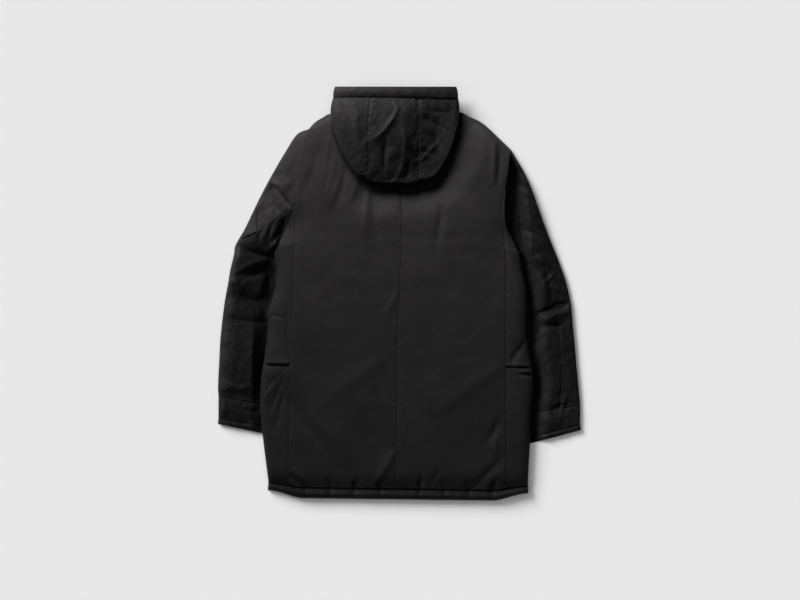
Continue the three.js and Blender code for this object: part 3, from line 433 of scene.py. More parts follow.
HOOD_CREASES = [
    (2.6, 6, 6, [(395, 102), (397, 113), (388, 128), (380, 137), (371, 142)]),
    (-3.4, 7, 7, [(386, 138), (385, 152), (384, 172)]), (-3, 5, 5, [(409, 160), (408, 170), (405, 180)]),
    (2.2, 5, 5, [(403, 164), (400, 174), (393, 184)]), (-2.8, 6, 6, [(422, 116), (432, 123), (447, 132)]),
    (-2.4, 5, 5, [(411, 150), (414, 156), (418, 162)]), (-2.4, 5, 5, [(422, 150), (426, 153), (431, 155)]),
    (2.6, 5, 6, [(437, 144), (428, 154), (418, 165)]), (1.8, 6, 6, [(402, 130), (406, 142), (404, 156)]),
    (-1.8, 9, 9, [(346, 130), (352, 148), (362, 168)]), (1.4, 8, 8, [(358, 108), (357, 126), (360, 142)]),
    (2.2, 5, 5, [(456, 96), (456, 112), (453, 130)]), (-1.6, 6, 6, [(340, 104), (347, 112), (352, 124)]),
    (-2, 5, 6, [(428, 104), (433, 112), (446, 114)]), (-2.2, 6, 6, [(424, 132), (434, 140), (440, 152)]),
]
CREASES = {
    "body": {"rows": BODY_CREASES, "power": 1.8, "scale": 1.3},
    "sleeve": {"rows": SLEEVE_CREASES, "power": 1.4, "scale": 1.6},
    "hood": {"rows": HOOD_CREASES, "power": 1.4, "scale": 1.5},
}
# Small relief of the cloth as sums of noise: heights and sizes of its lumps, its facets and its grain
RELIEF = {
    "back": {"lumps": ((1.5, 78), (0.4, 34)), "grain": (0.04, 12)},
    "sleeve": {"lumps": ((0.9, 27), (0.4, 13)), "facets": ((2.2, 31), (1.0, 15)), "grain": (0.12, 8)},
    "hood": {"lumps": ((0.7, 24), (0.3, 12)), "facets": ((1.5, 29), (0.5, 14)), "grain": (0.1, 8)},
}
CREASE_REACH = 3  # how many half widths away a crease still counts
CREASE_STEPS = 7  # straight steps between two of its pixels


def layered(noise, layers, *places):
    """The sum of a noise's layers, each with its height and size and at its own places."""
    return sum(height * noise(x, y, size) for (height, size), (x, y) in zip(layers, places))


def crease_height(x, y, region):
    """The sum of a region's creases at places in plan."""
    total = np.zeros_like(x)
    form = CREASES[region]
    for height, left, right, along in form["rows"]:
        t = np.linspace(0, len(along) - 1, CREASE_STEPS * (len(along) - 1) + 1)
        cx, cy = (curve(values, t) for values in from_photo(*zip(*along)))
        reach = CREASE_REACH * max(left, right)
        near = (x > cx.min() - reach) & (x < cx.max() + reach)
        near &= (y > cy.min() - reach) & (y < cy.max() + reach)
        if not near.any():
            continue
        gx, gy = x[near][:, None], y[near][:, None]
        dx, dy = np.diff(cx), np.diff(cy)
        length = np.hypot(dx, dy)
        share = ((gx - cx[:-1]) * dx + (gy - cy[:-1]) * dy) / length**2
        held = np.clip(share, 0, 1)
        away = np.hypot(gx - cx[:-1] - held * dx, gy - cy[:-1] - held * dy)
        best = away.argmin(axis=1)
        pick = np.arange(len(best))
        side = (gx[:, 0] - cx[best]) * dy[best] - (gy[:, 0] - cy[best]) * dx[best]
        width = np.where(side < 0, left, right)
        place = (best + held[pick, best]) / (len(cx) - 1)
        fade = np.sin(np.pi * np.clip(place, 0.04, 0.96)) ** 0.6
        shape = np.exp(-((away[pick, best] / width) ** form["power"]))
        total[near] += form["scale"] * height * fade * shape
    return total


# Meshes
pieces = {}


def wall(name, outer, inner, keep=None):
    """Dresses a node in a closed wall: outer points over inner points, joined round the kept cells."""
    rows, columns, _ = outer.shape
    keep = np.ones((rows - 1, columns - 1), bool) if keep is None else keep
    index = np.arange(rows * columns).reshape(rows, columns)
    half = rows * columns
    a, b, c, d = index[:-1, :-1], index[:-1, 1:], index[1:, 1:], index[1:, :-1]
    top = np.stack([a, b, c, d], axis=-1)[keep]
    quads = [top, top[:, ::-1] + half]

    def rim(start, end, use):
        s, e = start[use], end[use]
        quads.append(np.stack([e, s, s + half, e + half], axis=-1))

    padded = np.pad(keep, 1)
    rim(a, b, keep & ~padded[:-2, 1:-1])
    rim(b, c, keep & ~padded[1:-1, 2:])
    rim(c, d, keep & ~padded[2:, 1:-1])
    rim(d, a, keep & ~padded[1:-1, :-2])
    faces = np.concatenate(quads)
    points = np.concatenate([outer.reshape(-1, 3), inner.reshape(-1, 3)])
    pieces[name] = mesh_object(f"cloth_{name}", points, faces)


def mesh_object(name, points, faces):
    """A smooth-shaded mesh of four-sided faces that point out, on or above the floor."""
    used = np.unique(faces)
    renumber = np.zeros(len(points), int)
    renumber[used] = np.arange(len(used))
    points, faces = points[used] * MM, renumber[faces]
    points[:, 2] = np.maximum(points[:, 2], 0)
    p = points[faces]
    volume = np.einsum("ij,ij->i", p[:, 0], np.cross(p[:, 1], p[:, 2])).sum()
    volume += np.einsum("ij,ij->i", p[:, 0], np.cross(p[:, 2], p[:, 3])).sum()
    if volume < 0:
        faces = faces[:, ::-1]
    mesh = bpy.data.meshes.new(name)
    mesh.from_pydata(points.tolist(), [], faces.tolist())
    mesh.polygons.foreach_set("use_smooth", np.ones(len(faces), bool))
    mesh.update()
    obj = bpy.data.objects.new(name, mesh)
    bpy.context.scene.collection.objects.link(obj)
    return obj


def narrowed(x, share):
    """Values drawn together about their mean."""
    return (x - x.mean()) * share + x.mean()


def border_distance(points, side):
    """Distance of each point of a grid from one of its four borders, along the grid."""
    axis = 0 if side in ("first_row", "last_row") else 1
    step = np.linalg.norm(np.diff(points[..., :2], axis=axis), axis=-1)
    zero = np.zeros((1, points.shape[1])) if axis == 0 else np.zeros((points.shape[0], 1))
    run = np.concatenate([zero, np.cumsum(step, axis=axis)], axis=axis)
    if side in ("last_row", "last_column"):
        run = (run[-1:] if axis == 0 else run[:, -1:]) - run
    return run


def sewn(points, sides, up=-1):
    """Rolls a grid down into its seams, flattens the padding beside them and puckers it.

    sides gives each seam's groove depth, padding drop and pucker height in millimetres."""
    points = points.copy()
    for side, (groove, drop, pucker) in sides.items():
        d = border_distance(points, side)
        x, y = points[..., 0], points[..., 1]
        ripple = fine_noise(x + 0.35 * y, y - 0.35 * x, 7.5) + 0.6 * fine_noise(y, x, 4.2)
        shape = np.exp(-(((d - PUCKER["from"]) / PUCKER["reach"]) ** 2))
        shape = shape + PUCKER["tail_share"] * np.exp(-d / PUCKER["tail"])
        low = groove * np.exp(-((d / GROOVE_REACH) ** 2)) + drop * np.exp(-d / PADDING_REACH)
        points[..., 2] += up * (low + pucker * ripple * shape * (d > 0))
    return points


def line_beside(points, side, offset, first, last):
    """Points of a grid at a distance from one of its borders, as a polyline."""
    d = border_distance(points, side)
    if side in ("first_row", "last_row"):
        d, grid = d.T, points.transpose(1, 0, 2)
    else:
        grid = points
    count = len(grid)
    found = []
    for k in range(int(first * (count - 1)), int(last * (count - 1)) + 1):
        row, order = d[k], np.argsort(d[k])
        if row.max() > offset:
            found.append([np.interp(offset, row[order], grid[k][order, n]) for n in range(3)])
    return np.array(found)


# Stitches
stitch_runs = []


def stitches(points, side, offset, first=0.0, last=1.0):
    """Keeps one run of stitches beside a border of a grid."""
    line = line_beside(points, side, offset, first, last)
    if len(line) < 2:
        return
    steps = np.linalg.norm(np.diff(line, axis=0), axis=1)
    length = np.concatenate([[0], np.cumsum(steps)])
    pitch = STITCH["length"] + STITCH["gap"]
    starts = np.arange(pitch / 2, length[-1] - pitch, pitch)
    a = np.stack([np.interp(starts, length, line[:, n]) for n in range(3)], axis=1)
    b = np.stack([np.interp(starts + STITCH["length"], length, line[:, n]) for n in range(3)], axis=1)
    a[:, 2] += STITCH["lift"]
    b[:, 2] += STITCH["lift"]
    stitch_runs.append((a, b))


def stitch_mesh(name):
    """All the stitches as one mesh of four-sided threads, thickest in the middle."""
    a, b = (np.concatenate([run[end] for run in stitch_runs]) for end in (0, 1))
    along = b - a
    along /= np.linalg.norm(along, axis=1)[:, None]
    side = np.cross(along, [0, 0, 1.0])
    side /= np.maximum(np.linalg.norm(side, axis=1)[:, None], 1e-9)
    up = np.cross(side, along)
    w, h = STITCH["width"] / 2, STITCH["height"]
    rings = []
    for centre, size, rise in ((a, 0.35, -0.25), ((a + b) / 2, 1, 0.3), (b, 0.35, -0.25)):
        for angle in np.arange(4) * np.pi / 2 + np.pi / 4:
            offset = side * (w * size * np.cos(angle)) + up * (h * size * np.sin(angle) + h * rise)
            rings.append(centre + offset)
    points = np.stack(rings, axis=1).reshape(-1, 3)
    pattern = [(k + 4 * r, (k + 1) % 4 + 4 * r, (k + 1) % 4 + 4 * r + 4, k + 4 * r + 4)
               for r in range(2) for k in range(4)]
    pattern += [(3, 2, 1, 0), (8, 9, 10, 11)]
    faces = (12 * np.arange(len(a))[:, None, None] + np.array(pattern)).reshape(-1, 4)
    return mesh_object(name, points, faces)


# Body
def body_y(row, x, front):
    """y at places across a row: curved at the hem, and along the neck and shoulders at the top."""
    v = np.clip((x - row["xl"]) / (row["xr"] - row["xl"]), 0, 1)
    corner = HEM_CORNER_SHARE
    plateau = smooth(v, 0, corner) * (1 - smooth(v, 1 - corner, 1))
    top = dict(zip(BODY_COLUMNS, BODY_ROWS[TOP_ROW]))
    rise = np.interp(lerp(top["xl"], top["xr"], v), TOP_X, TOP_Y) - lerp(top["yl"], top["yr"], v)
    if front:
        away = np.clip(np.abs(v - NECK_CENTRE_SHARE) / NECK_HALF_SHARE, 0, 1)
        rise = rise - FRONT_NECK_DROP * (1 - away**2)
    return lerp(row["yl"], row["yr"], v) + row["sag"] * plateau + row["rise"] * rise


def edge_radius(i, x, middle):
    """How far in from its edge the body is rounded: widely at the underarms and down the right side."""
    left = lerp(BODY_EDGE_RADIUS, EDGE_WIDE["left"], smooth(i, POCKET_ROW, UNDERARM_ROW))
    right = lerp(BODY_EDGE_RADIUS, EDGE_WIDE["right"], smooth(i, HEM_ROW, HEM_ROW + 2))
    return np.where(x < middle, left, right)


def body_top(i, row, x, y, swollen=True):
    """Height of the body's upper face, rounded at its folded edges and lower along the armholes."""
    edge = np.minimum(x - row["xl"], row["xr"] - x)
    b = BILLOW
    swell = np.clip((i - HEM_ROW), 0, 1) * np.clip(TOP_ROW - i, 0, 1) * swollen
    wave = np.sin(x / b["across"] + b["shift"]) * np.cos(y / b["along"] - x / b["skew"])
    h = row["h"] + swell * b["height"] * wave
    folded = BODY_NOSE + (h - BODY_NOSE) * rounded(edge, edge_radius(i, x, row["c"]))
    armhole = lerp(curve(ARMHOLE_TOP, i - UNDERARM_ROW), h, smooth(edge, 0, ARMHOLE_REACH))
    return lerp(folded, armhole, smooth(i, UNDERARM_ROW, UNDERARM_ROW + 4))


def hood_hollow(x, y):
    """How far the back sinks beside the hood, on its right and below it."""
    line = np.arange(0, HOOD_LAST + 0.01, 0.25)
    edge_x = np.concatenate([curve(HOOD["xl"], line), curve(HOOD["xr"], line[::-1])])
    edge_y = np.concatenate([curve(HOOD["y"], line), curve(HOOD["y"], line[::-1])])
    away = np.sqrt(((x[..., None] - edge_x) ** 2 + (y[..., None] - edge_y) ** 2).min(axis=-1))
    dx, dy = x - HOOD_HOLLOW["middle"][0], y - HOOD_HOLLOW["middle"][1]
    shaded = smooth((dx - dy) / (np.hypot(dx, dy) + 1), -0.2, 0.6)
    return HOOD_HOLLOW["depth"] * shaded * (1 - smooth(away, HOOD_HOLLOW["near"], HOOD_HOLLOW["far"]))


def under_hood(x, y):
    """1 where the hood lies on the back, fading out round it."""
    row = np.interp(-y, -HOOD["y"], np.arange(len(HOOD_ROWS)))
    inside = np.minimum(x - curve(HOOD["xl"], row), curve(HOOD["xr"], row) - x)
    return smooth(inside, *UNDER_HOOD["inside"]) * smooth(y, *UNDER_HOOD["above"])


def back_detail(x, y):
    """Creases and small unevenness of the back, in millimetres."""
    form = RELIEF["back"]
    lumps = layered(soft_noise, form["lumps"], (x + 0.3 * y, y), (y - x, x + y))
    return crease_height(x, y, "body") + lumps + layered(fine_noise, [form["grain"]], (x, y))


def back_grid(rows, columns, x_of):
    """Outer and inner points of the back, between the two lines that x_of knows."""
    i, t = np.meshgrid(rows, columns, indexing="ij")
    row = values_at(BODY, i)
    x = x_of(row, t)
    y = body_y(row, x, False)
    top = body_top(i, row, x, y)
    edge = np.minimum(x - row["xl"], row["xr"] - x)
    hidden = under_hood(x, y)
    detail = back_detail(x, y) * smooth(edge, 0, DETAIL_REACH["back"]) * (1 - hidden)
    top = np.where(hidden > 0.5, np.minimum(top, UNDER_HOOD["height"]), top)
    slit = LAYER_SHARE * body_top(i, row, x, y, False)
    lowered = top + detail - hood_hollow(x, y) * smooth(edge, 0, 30)
    outer = xyz(x, y, np.maximum(lowered, np.minimum(top, slit + SLIT / 2 + BACK_WALL)))
    return outer, xyz(x, y, slit + SLIT / 2)


def front_grid(rows, columns, x_of):
    """Outer points of the front on the floor, and its inner points under the slit."""
    i, t = np.meshgrid(rows, columns, indexing="ij")
    row = values_at(BODY, i)
    x = x_of(row, t)
    y = body_y(row, x, True)
    level = np.minimum(i + np.clip(i - JOIN_ROW["right"], 0, 1), TOP_ROW)
    slit = LAYER_SHARE * body_top(level, values_at(BODY, level), x, y, False)
    return xyz(x, y, 0 * x), xyz(x, y, np.maximum(slit - SLIT / 2, FRONT_WALL))


def body_rows(first, last, step):
    return stations([BODY["xl"] * 0.2, (BODY["yl"] + BODY["yr"]) / 2], first, last, step)


def shares(width, step):
    """Shares of a width at which a grid's columns lie."""
    return spread(width, step) / width


def between_lines(first, last):
    """x across a panel from one named line to another, kept clear of both seams."""
    def x_of(row, t):
        lines = {**row, "fly_left": row["c"] - FLY_HALF_WIDTH, "fly_right": row["c"] + FLY_HALF_WIDTH}
        return lerp(lines[first] + GAP, lines[last] - GAP, t)
    return x_of


def make_back(side):
    first, last = ("sl", "c") if side == "left" else ("c", "sr")
    rows = body_rows(HEM_ROW, TOP_ROW, FINE)
    outer, inner = back_grid(rows, shares(BACK_WIDTH, FINE), between_lines(first, last))
    seams = {"first_row": HEM_SEAM, "last_row": QUIET, "first_column": SEAM, "last_column": SEAM}
    outer = sewn(outer, seams)
    stitches(outer, "first_row", 4.5)
    if side == "left":
        stitches(outer, "first_column", 5, 0, 0.78)
        stitches(outer, "last_column", 4.5, 0, 0.86)
    else:
        stitches(outer, "last_column", 5, 0, 0.8)
    wall(f"back_{side}", outer, inner)


def make_front(part, first, last):
    """One of the three panels under the back, which lie on the floor."""
    rows = body_rows(0 if part == "fly" else HEM_ROW, TOP_ROW, COARSE)
    columns = shares(FRONT_WIDTH[part], COARSE)
    outer, inner = front_grid(rows, columns, between_lines(first, last))
    grooves = dict.fromkeys(("first_column", "last_column", "first_row", "last_row"), QUIET)
    wall(f"front_{part}", sewn(outer, grooves, up=1), inner)


def side_grid(side, first, last):
    """The side panel from its back seam round the folded edge to its front seam."""
    left = side == "left"
    over = spread(SIDE_WIDTH, FINE, both=False)
    over = np.concatenate([over[over < SIDE_BEFORE_FOLD[0] - FINE / 2], SIDE_BEFORE_FOLD]) / SIDE_WIDTH
    under = np.array(SIDE_BELOW) / SIDE_WIDTH
    fold = len(over)
    rows = body_rows(first, last, FINE)
    i, k = np.meshgrid(rows, np.arange(fold + 1 + len(under)), indexing="ij")
    share = np.concatenate([over, [1.0], 1 - under])[k]
    row = values_at(BODY, i)
    edge, seam, sign = (row["xl"], row["sl"], 1) if left else (row["xr"], row["sr"], -1)
    width = np.abs(seam - edge) - GAP
    split = np.clip(i - UNDERARM_ROW, 0, 1)
    near = np.where(k < fold, 1 - over[-1], under[0])
    share = np.where(k == fold, share, np.minimum(1, share + split * near * share))
    x = edge + sign * width * (1 - share)
    y = body_y(row, x, False)
    d = width * (1 - share)
    top = body_top(i, row, x, y)
    slit = LAYER_SHARE * body_top(i, row, x, y, False)
    nose = np.where(split > 0, 0, BODY_NOSE * (1 - split))
    low = nose * (1 - np.clip(d / BODY_UNDER_RADIUS, 0, 1))
    detail = back_detail(x, y) * smooth(d, 0, DETAIL_REACH["side"]) * smooth(width, 4, 16)
    z = np.where(k <= fold, top + np.where(k < fold, detail, 0), low)
    outer = xyz(x, y, z)
    inset = INNER_INSET * np.clip(1 - d / np.maximum(width, 1), 0, 1) * np.clip(width / 20, 0, 1)
    inner_z = slit + np.where(k < fold, SLIT / 2, np.where(k > fold, -SLIT / 2, 0))
    inner_z = np.where(k > fold, np.maximum(inner_z, low + WALL_MIN), inner_z)
    inner = xyz(x + sign * inset, y, inner_z)
    mid = (rows[:-1] + rows[1:]) / 2
    keep = np.ones((len(rows) - 1, outer.shape[1] - 1), bool)
    keep[mid > UNDERARM_ROW, fold - 1:fold + 1] = False
    return outer, inner, keep, fold


def make_side(side, part):
    """The panel above or below the pocket's mouth: a raised lip above, sunken cloth below."""
    upper = part == "upper"
    first, last = (POCKET_ROW, JOIN_ROW[side]) if upper else (HEM_ROW, POCKET_ROW)
    outer, inner, keep, fold = side_grid(side, first, last)
    top = sewn(outer[:, :fold], {"first_column": SEAM})
    mouth = border_distance(outer, "first_row" if upper else "last_row")[:, :fold]
    swell = np.exp(-mouth / LIP_REACH)
    groove = LIP_GROOVE[part] * np.exp(-((mouth / LIP_GROOVE_REACH) ** 2))
    edge = smooth(np.abs(outer[:, :fold, 0] - outer[:, fold:fold + 1, 0]), 0, LIP_END)
    if upper:
        top[..., 2] += (POCKET_LIP[side] * swell - groove) * edge
    else:
        top[..., 2] -= (POCKET_DROP[side] * swell + groove) * edge
        top = lerp(top, sewn(top, {"first_row": HEM_SEAM}), edge[..., None])
    outer[:, :fold] = top
    stitches(outer[:, :fold], "first_row", 6.5 if upper else 4.5)
    thin = np.minimum(inner[..., 2], outer[..., 2] - WALL_MIN)
    inner[..., 2] = np.where(np.arange(outer.shape[1]) < fold, thin, inner[..., 2])
    wall(f"side_{side}_{part}", outer, inner, keep)


def make_hem():
    """The hem's casing, rolled round the lower edge from the back to the front."""
    across = spread(HEM["width"], FINE)
    t = across / across[-1]
    i, v = np.meshgrid(HEM_BACK, t, indexing="ij")
    row = values_at(BODY, i)
    x = lerp(row["xl"], row["xr"], v)
    y = body_y(row, x, False)
    bulge = np.sin(np.clip((HEM_ROW - i) / HEM_ROW, 0, 1) * np.pi) ** HEM["roundness"] * (i > 0)
    profile = lerp(curve(BODY["h"], i), BODY_NOSE + HEM["bulge"] * bulge, HEM["bulge_share"])
    edge = np.minimum(x - row["xl"], row["xr"] - x)
    z = BODY_NOSE + (profile - BODY_NOSE) * rounded(edge, BODY_EDGE_RADIUS)
    ripple = fine_noise(x, y * 0.4, 11) + 0.7 * fine_noise(x + 50, y * 0.5, 5.2)
    belly = np.sin(np.clip(i / HEM_ROW, 0, 1) * np.pi)
    puckers = HEM["pucker"] * ripple * (0.3 + belly) + crease_height(x, y, "body")
    z = z + puckers * smooth(edge, 0, DETAIL_REACH["back"])
    z = z - HEM["groove"] * np.exp(-(((HEM_ROW - i) / HEM["groove_rows"]) ** 2)) * smooth(edge, 0, 10)
    top = xyz(x, y, z)
    end = top[-1]
    rolled = [xyz(end[:, 0], end[:, 1] - out, end[:, 2] * share) for out, share in HEM_TURN]
    under = []
    for place in HEM_UNDER:
        row = values_at(BODY, np.full(len(t), place))
        x = lerp(row["xl"], row["xr"], t)
        under.append(xyz(x, body_y(row, x, False), 0 * x))
    outer = np.concatenate([top, rolled, under])
    inner = outer.copy()
    count = len(HEM_BACK)
    slit = LAYER_SHARE * HEM["slit_below"]
    inner[:count, :, 2] = np.minimum(slit + SLIT / 2, outer[:count, :, 2] - WALL_MIN)
    inner[count:, :, 2] = np.maximum(slit - SLIT / 2 - 1, 2.0)
    nose, turn, step = HEM["walls"]
    inner[count - 1, :, 1] = end[:, 1] + nose
    for k in range(len(HEM_TURN)):
        inner[count + k, :, 1] = end[:, 1] + turn + step * k
    inner[..., 0] = narrowed(inner[..., 0], HEM["inner_share"])
    wall("hem_band", outer, inner)
    stitches(outer[:count], "first_row", HEM["stitching"])


# Sleeves
def armhole_line(side, c):
    """The line on the body where a sleeve starts, from the underarm up."""
    x, y = (curve(BODY[name], UNDERARM_ROW + c) for name in EDGE_COLUMNS[side])
    at_start = np.clip(1 - c, 0, 1)
    return x + SIGN[side] * FREE_GAP * at_start, y + UNDERARM_RISE * at_start


def body_edge(side):
    """The body's edge below the underarm: y, and x at it."""
    x, y = (curve(BODY[name], np.linspace(0, UNDERARM_ROW, 300)) for name in EDGE_COLUMNS[side])
    return y, x


BODY_EDGE = {side: body_edge(side) for side in SIGN}


def ring_ends(side, r):
    """The rings' values, and their inner and outer ends in plan."""
    ring = values_at(RINGS[side], r)
    edge = np.interp(ring["iy"], *BODY_EDGE[side])
    tuck = lerp(-FREE_GAP, TUCK, np.clip(r / TUCK_RINGS, 0, 1))
    return ring, edge - SIGN[side] * tuck, ring["iy"], ring["ox"], ring["oy"]


def ring_share(ring, c):
    """How far a column lies along its ring, from the inner end to the outer one."""
    over = lerp(ring["seam"], 1, (c - SEAM_COLUMN) / (ARM_COLUMNS - SEAM_COLUMN))
    return np.where(c <= SEAM_COLUMN, ring["seam"] * c / SEAM_COLUMN, over)


def sleeve_plan(side, r, c):
    """x and y of a ring's columns, their share of its width, the width and the height."""
    ring, ix, iy, ox, oy = ring_ends(side, r)
    share = ring_share(ring, c)
    x, y = lerp(ix, ox, share), lerp(iy, oy, share)
    first, fx, fy, gx, gy = ring_ends(side, 0 * r)
    start = ring_share(first, c)
    ax, ay = armhole_line(side, c)
    bow = np.clip(1 - r / BOW_RINGS, 0, 1)
    x = x + (ax - lerp(fx, gx, start)) * bow
    y = y + (ay - lerp(fy, gy, start)) * bow
    return x, y, share, np.hypot(ox - ix, oy - iy), ring["h"]


def sleeve_top(side, r, c, share, width, h):
    """Height of a sleeve's upper face: a valley beside the body, the crest and the outer edge."""
    low = lerp(ARMHOLE_TOP[0], TUCKED_NOSE, np.clip(r / TUCK_RINGS, 0, 1))
    slope = smooth(share * width, *SLEEVE_VALLEY[side])
    tilt, below = SLEEVE_TILT[side], smooth(r, *TILT_RINGS)
    bent = lerp(lerp(*tilt["inner"], below), 1, smooth(share, 0, tilt["from"]))
    bent = bent * lerp(1, lerp(*tilt["outer"], below), smooth(share, lerp(*tilt["to"], below), 1))
    rise = lerp(low, np.maximum(h * bent, SLEEVE_NOSE + 2), slope)
    own = SLEEVE_NOSE + (rise - SLEEVE_NOSE) * rounded((1 - share) * width, SLEEVE_EDGE_RADIUS)
    height = np.where(share < 0.5, rise, own)
    return lerp(curve(ARMHOLE_TOP, c), height, np.clip(r / FADE_RINGS, 0, 1))


def armhole_dip(side, x, y, c):
    """How far the sleeve sinks beside the body, from its armhole outwards."""
    ax, ay = armhole_line(side, c)
    away = np.hypot(x - ax, y - ay)
    part = smooth(c, 1, 3) * (1 - smooth(c, 9, 10.5))
    return ARMHOLE_DIP[side] * part * smooth(away, 0, 5) * (1 - smooth(away, *DIP_FADE))


def sleeve_detail(x, y):
    """Creases, crumpled facets and small unevenness of a sleeve."""
    form = RELIEF["sleeve"]
    lumps = layered(soft_noise, form["lumps"], (x, y + 90), (x + y, y - x))
    facets = layered(crumple, form["facets"], (x, y + 40), (y, x))
    return crease_height(x, y, "sleeve") + lumps + facets + layered(fine_noise, [form["grain"]], (x, y))


def sleeve_grid(side, rings, ks):
    """Outer and inner points of a sleeve; k runs over the top from 0 to 11 and back below to 22."""
    r, k = np.meshgrid(rings, ks, indexing="ij")
    turn = 2 * ARM_COLUMNS
    k = np.mod(k, turn)
    under = k > ARM_COLUMNS
    c = np.where(under, turn - k, k)
    x, y, share, width, h = sleeve_plan(side, r, c)
    top = np.maximum(sleeve_top(side, r, c, share, width, h) - armhole_dip(side, x, y, c), TUCKED_NOSE)
    edge = np.minimum(share, 1 - share) * width
    low = top * (1 - rounded(edge, SLEEVE_UNDER_RADIUS))
    detail = sleeve_detail(x, y) * smooth(edge, 0, DETAIL_REACH["sleeve"]) * smooth(r, 0, TUCK_RINGS)
    outer = xyz(x, y, np.where(under, low, top + detail))
    near_in = np.clip(1 - share * width / INSET_REACH, 0, 1)
    near_out = np.clip(1 - (1 - share) * width / INSET_REACH, 0, 1)
    push = INNER_INSET * (near_in - near_out)
    _, ix, iy, ox, oy = ring_ends(side, r)
    ux, uy = (ox - ix) / width, (oy - iy) / width
    at_nose = (c < 1e-6) | (c > ARM_COLUMNS - 1e-6)
    slit = LAYER_SHARE * top + np.where(at_nose, 0, np.where(under, -SLIT / 2, SLIT / 2))
    slit = np.where(under & ~at_nose, np.maximum(slit, low + 1), slit)
    slit = np.where(~under & ~at_nose, np.minimum(slit, outer[..., 2] - 1), slit)
    return outer, xyz(x + ux * push, y + uy * push, slit)


def ring_stations(side, first, last, step=FINE):
    ring = RINGS[side]
    return stations([ring["ox"] * 0.7, (ring["oy"] + ring["iy"]) / 2], first, last, step)


def k_stations(first, last, width, step):
    return lerp(first, last, shares(width, step))


def top_columns():
    """Columns of the outer panel: over the top to the outer edge, then back below it."""
    over = k_stations(SEAM_COLUMN, ARM_COLUMNS, SLEEVE_WIDTH["top"], FINE)
    tail = ARM_COLUMNS - np.array(TOP_BEFORE_EDGE)
    over = np.concatenate([over[over < tail[0] - 0.05], tail])
    return np.concatenate([over, ARM_COLUMNS + np.array(TOP_BELOW)]), len(over)


def under_columns():
    """Columns of the inner panel: back below from the fore seam to the valley, then up to the hind seam."""
    turn = 2 * ARM_COLUMNS
    below = lerp(turn - FORE_COLUMN, turn, np.array(UNDER_BELOW))
    over = turn + k_stations(0, SEAM_COLUMN, SLEEVE_WIDTH["under"], FINE)
    return np.concatenate([below, over]), len(below)


def make_sleeve(side):
    cuts = SLEEVE_CUTS[side]
    columns, crest = top_columns()
    outer, inner = sleeve_grid(side, ring_stations(side, 0, cuts["cuff"]), columns)
    top = outer[:, :crest]
    top[:] = sewn(top, {"first_column": SEAM, "first_row": SEAM, "last_row": SEAM})
    stitches(top, "first_column", 3.5)
    stitches(top, "last_row", 4)
    wall(f"sleeve_{side}_top", outer, inner)

    columns, start = under_columns()
    for name, first, last in (("under", 0, cuts["elbow"]), ("forearm", cuts["elbow"], cuts["cuff"])):
        outer, inner = sleeve_grid(side, ring_stations(side, first, last), columns)
        top = outer[:, start:]
        top[:] = sewn(top, {"last_column": SEAM, "first_row": SEAM, "last_row": SEAM})
        if name == "forearm":
            stitches(top, "first_row", 4)
            stitches(top, "last_row", 4)
        wall(f"sleeve_{side}_{name}", outer, inner)

    over = k_stations(0, ARM_COLUMNS, SLEEVE_WIDTH["cuff"], FINE)
    columns = np.concatenate([over, ARM_COLUMNS + np.array(CUFF_BELOW)])
    end = len(SLEEVE_RINGS[side]) - 1
    for name, first, last in (("cuff", cuts["cuff"], cuts["band"]), ("cuff_band", cuts["band"], end)):
        outer, inner = sleeve_grid(side, ring_stations(side, first, last, CUFF_STEP), columns)
        top = outer[:, :len(over)]
        top[:] = sewn(top, {"first_row": HEM_SEAM, "last_row": QUIET})
        stitches(top, "first_row", 3.5)
        closed = [np.concatenate([grid, grid[:, :1]], axis=1) for grid in (outer, inner)]
        wall(f"{name}_{side}", *closed)


def make_sleeve_pocket():
    """A thin patch that follows the outer panel of the left sleeve."""
    patch = POCKET_PATCH
    i, j = np.meshgrid(np.linspace(0, 1, 26), np.linspace(0, 1, 16), indexing="ij")
    corners = zip(*patch["near"], *patch["far"])
    x, y = (lerp(lerp(a, b, i), lerp(c, d, i), j) for a, b, c, d in corners)
    r, c = np.meshgrid(np.linspace(3, 9, 240), np.linspace(0, ARM_COLUMNS, 240), indexing="ij")
    px, py, share, width, h = sleeve_plan("left", r, c)
    top = sleeve_top("left", r, c, share, width, h) - armhole_dip("left", px, py, c)
    edge = np.minimum(share, 1 - share) * width
    top = top + sleeve_detail(px, py) * smooth(edge, 0, DETAIL_REACH["sleeve"])
    z = np.empty_like(x)
    for place in np.ndindex(x.shape):
        z[place] = top.flat[((px - x[place]) ** 2 + (py - y[place]) ** 2).argmin()]
    along, across = patch["length"], patch["width"]
    border = np.minimum.reduce([i * along, (1 - i) * along, j * across + 6, (1 - j) * across])
    lift = patch["lift"] + patch["thickness"] * (0.55 + 0.45 * smooth(border, 0, 3))
    outer = xyz(x, y, z + lift)
    stitches(outer, "first_column", 3)
    stitches(outer, "last_row", 3)
    wall("sleeve_pocket_left", outer, xyz(x, y, z + 0.4))


# Hood
def hood_detail(x, y):
    """Creases, crumpled facets and small unevenness of the hood."""
    form = RELIEF["hood"]
    lumps = layered(soft_noise, form["lumps"], (x + 300, y), (x + y, y - x + 40))
    facets = layered(crumple, form["facets"], (x + 80, y), (y, x + 60))
    return crease_height(x, y, "hood") + lumps + facets + layered(fine_noise, [form["grain"]], (x, y))


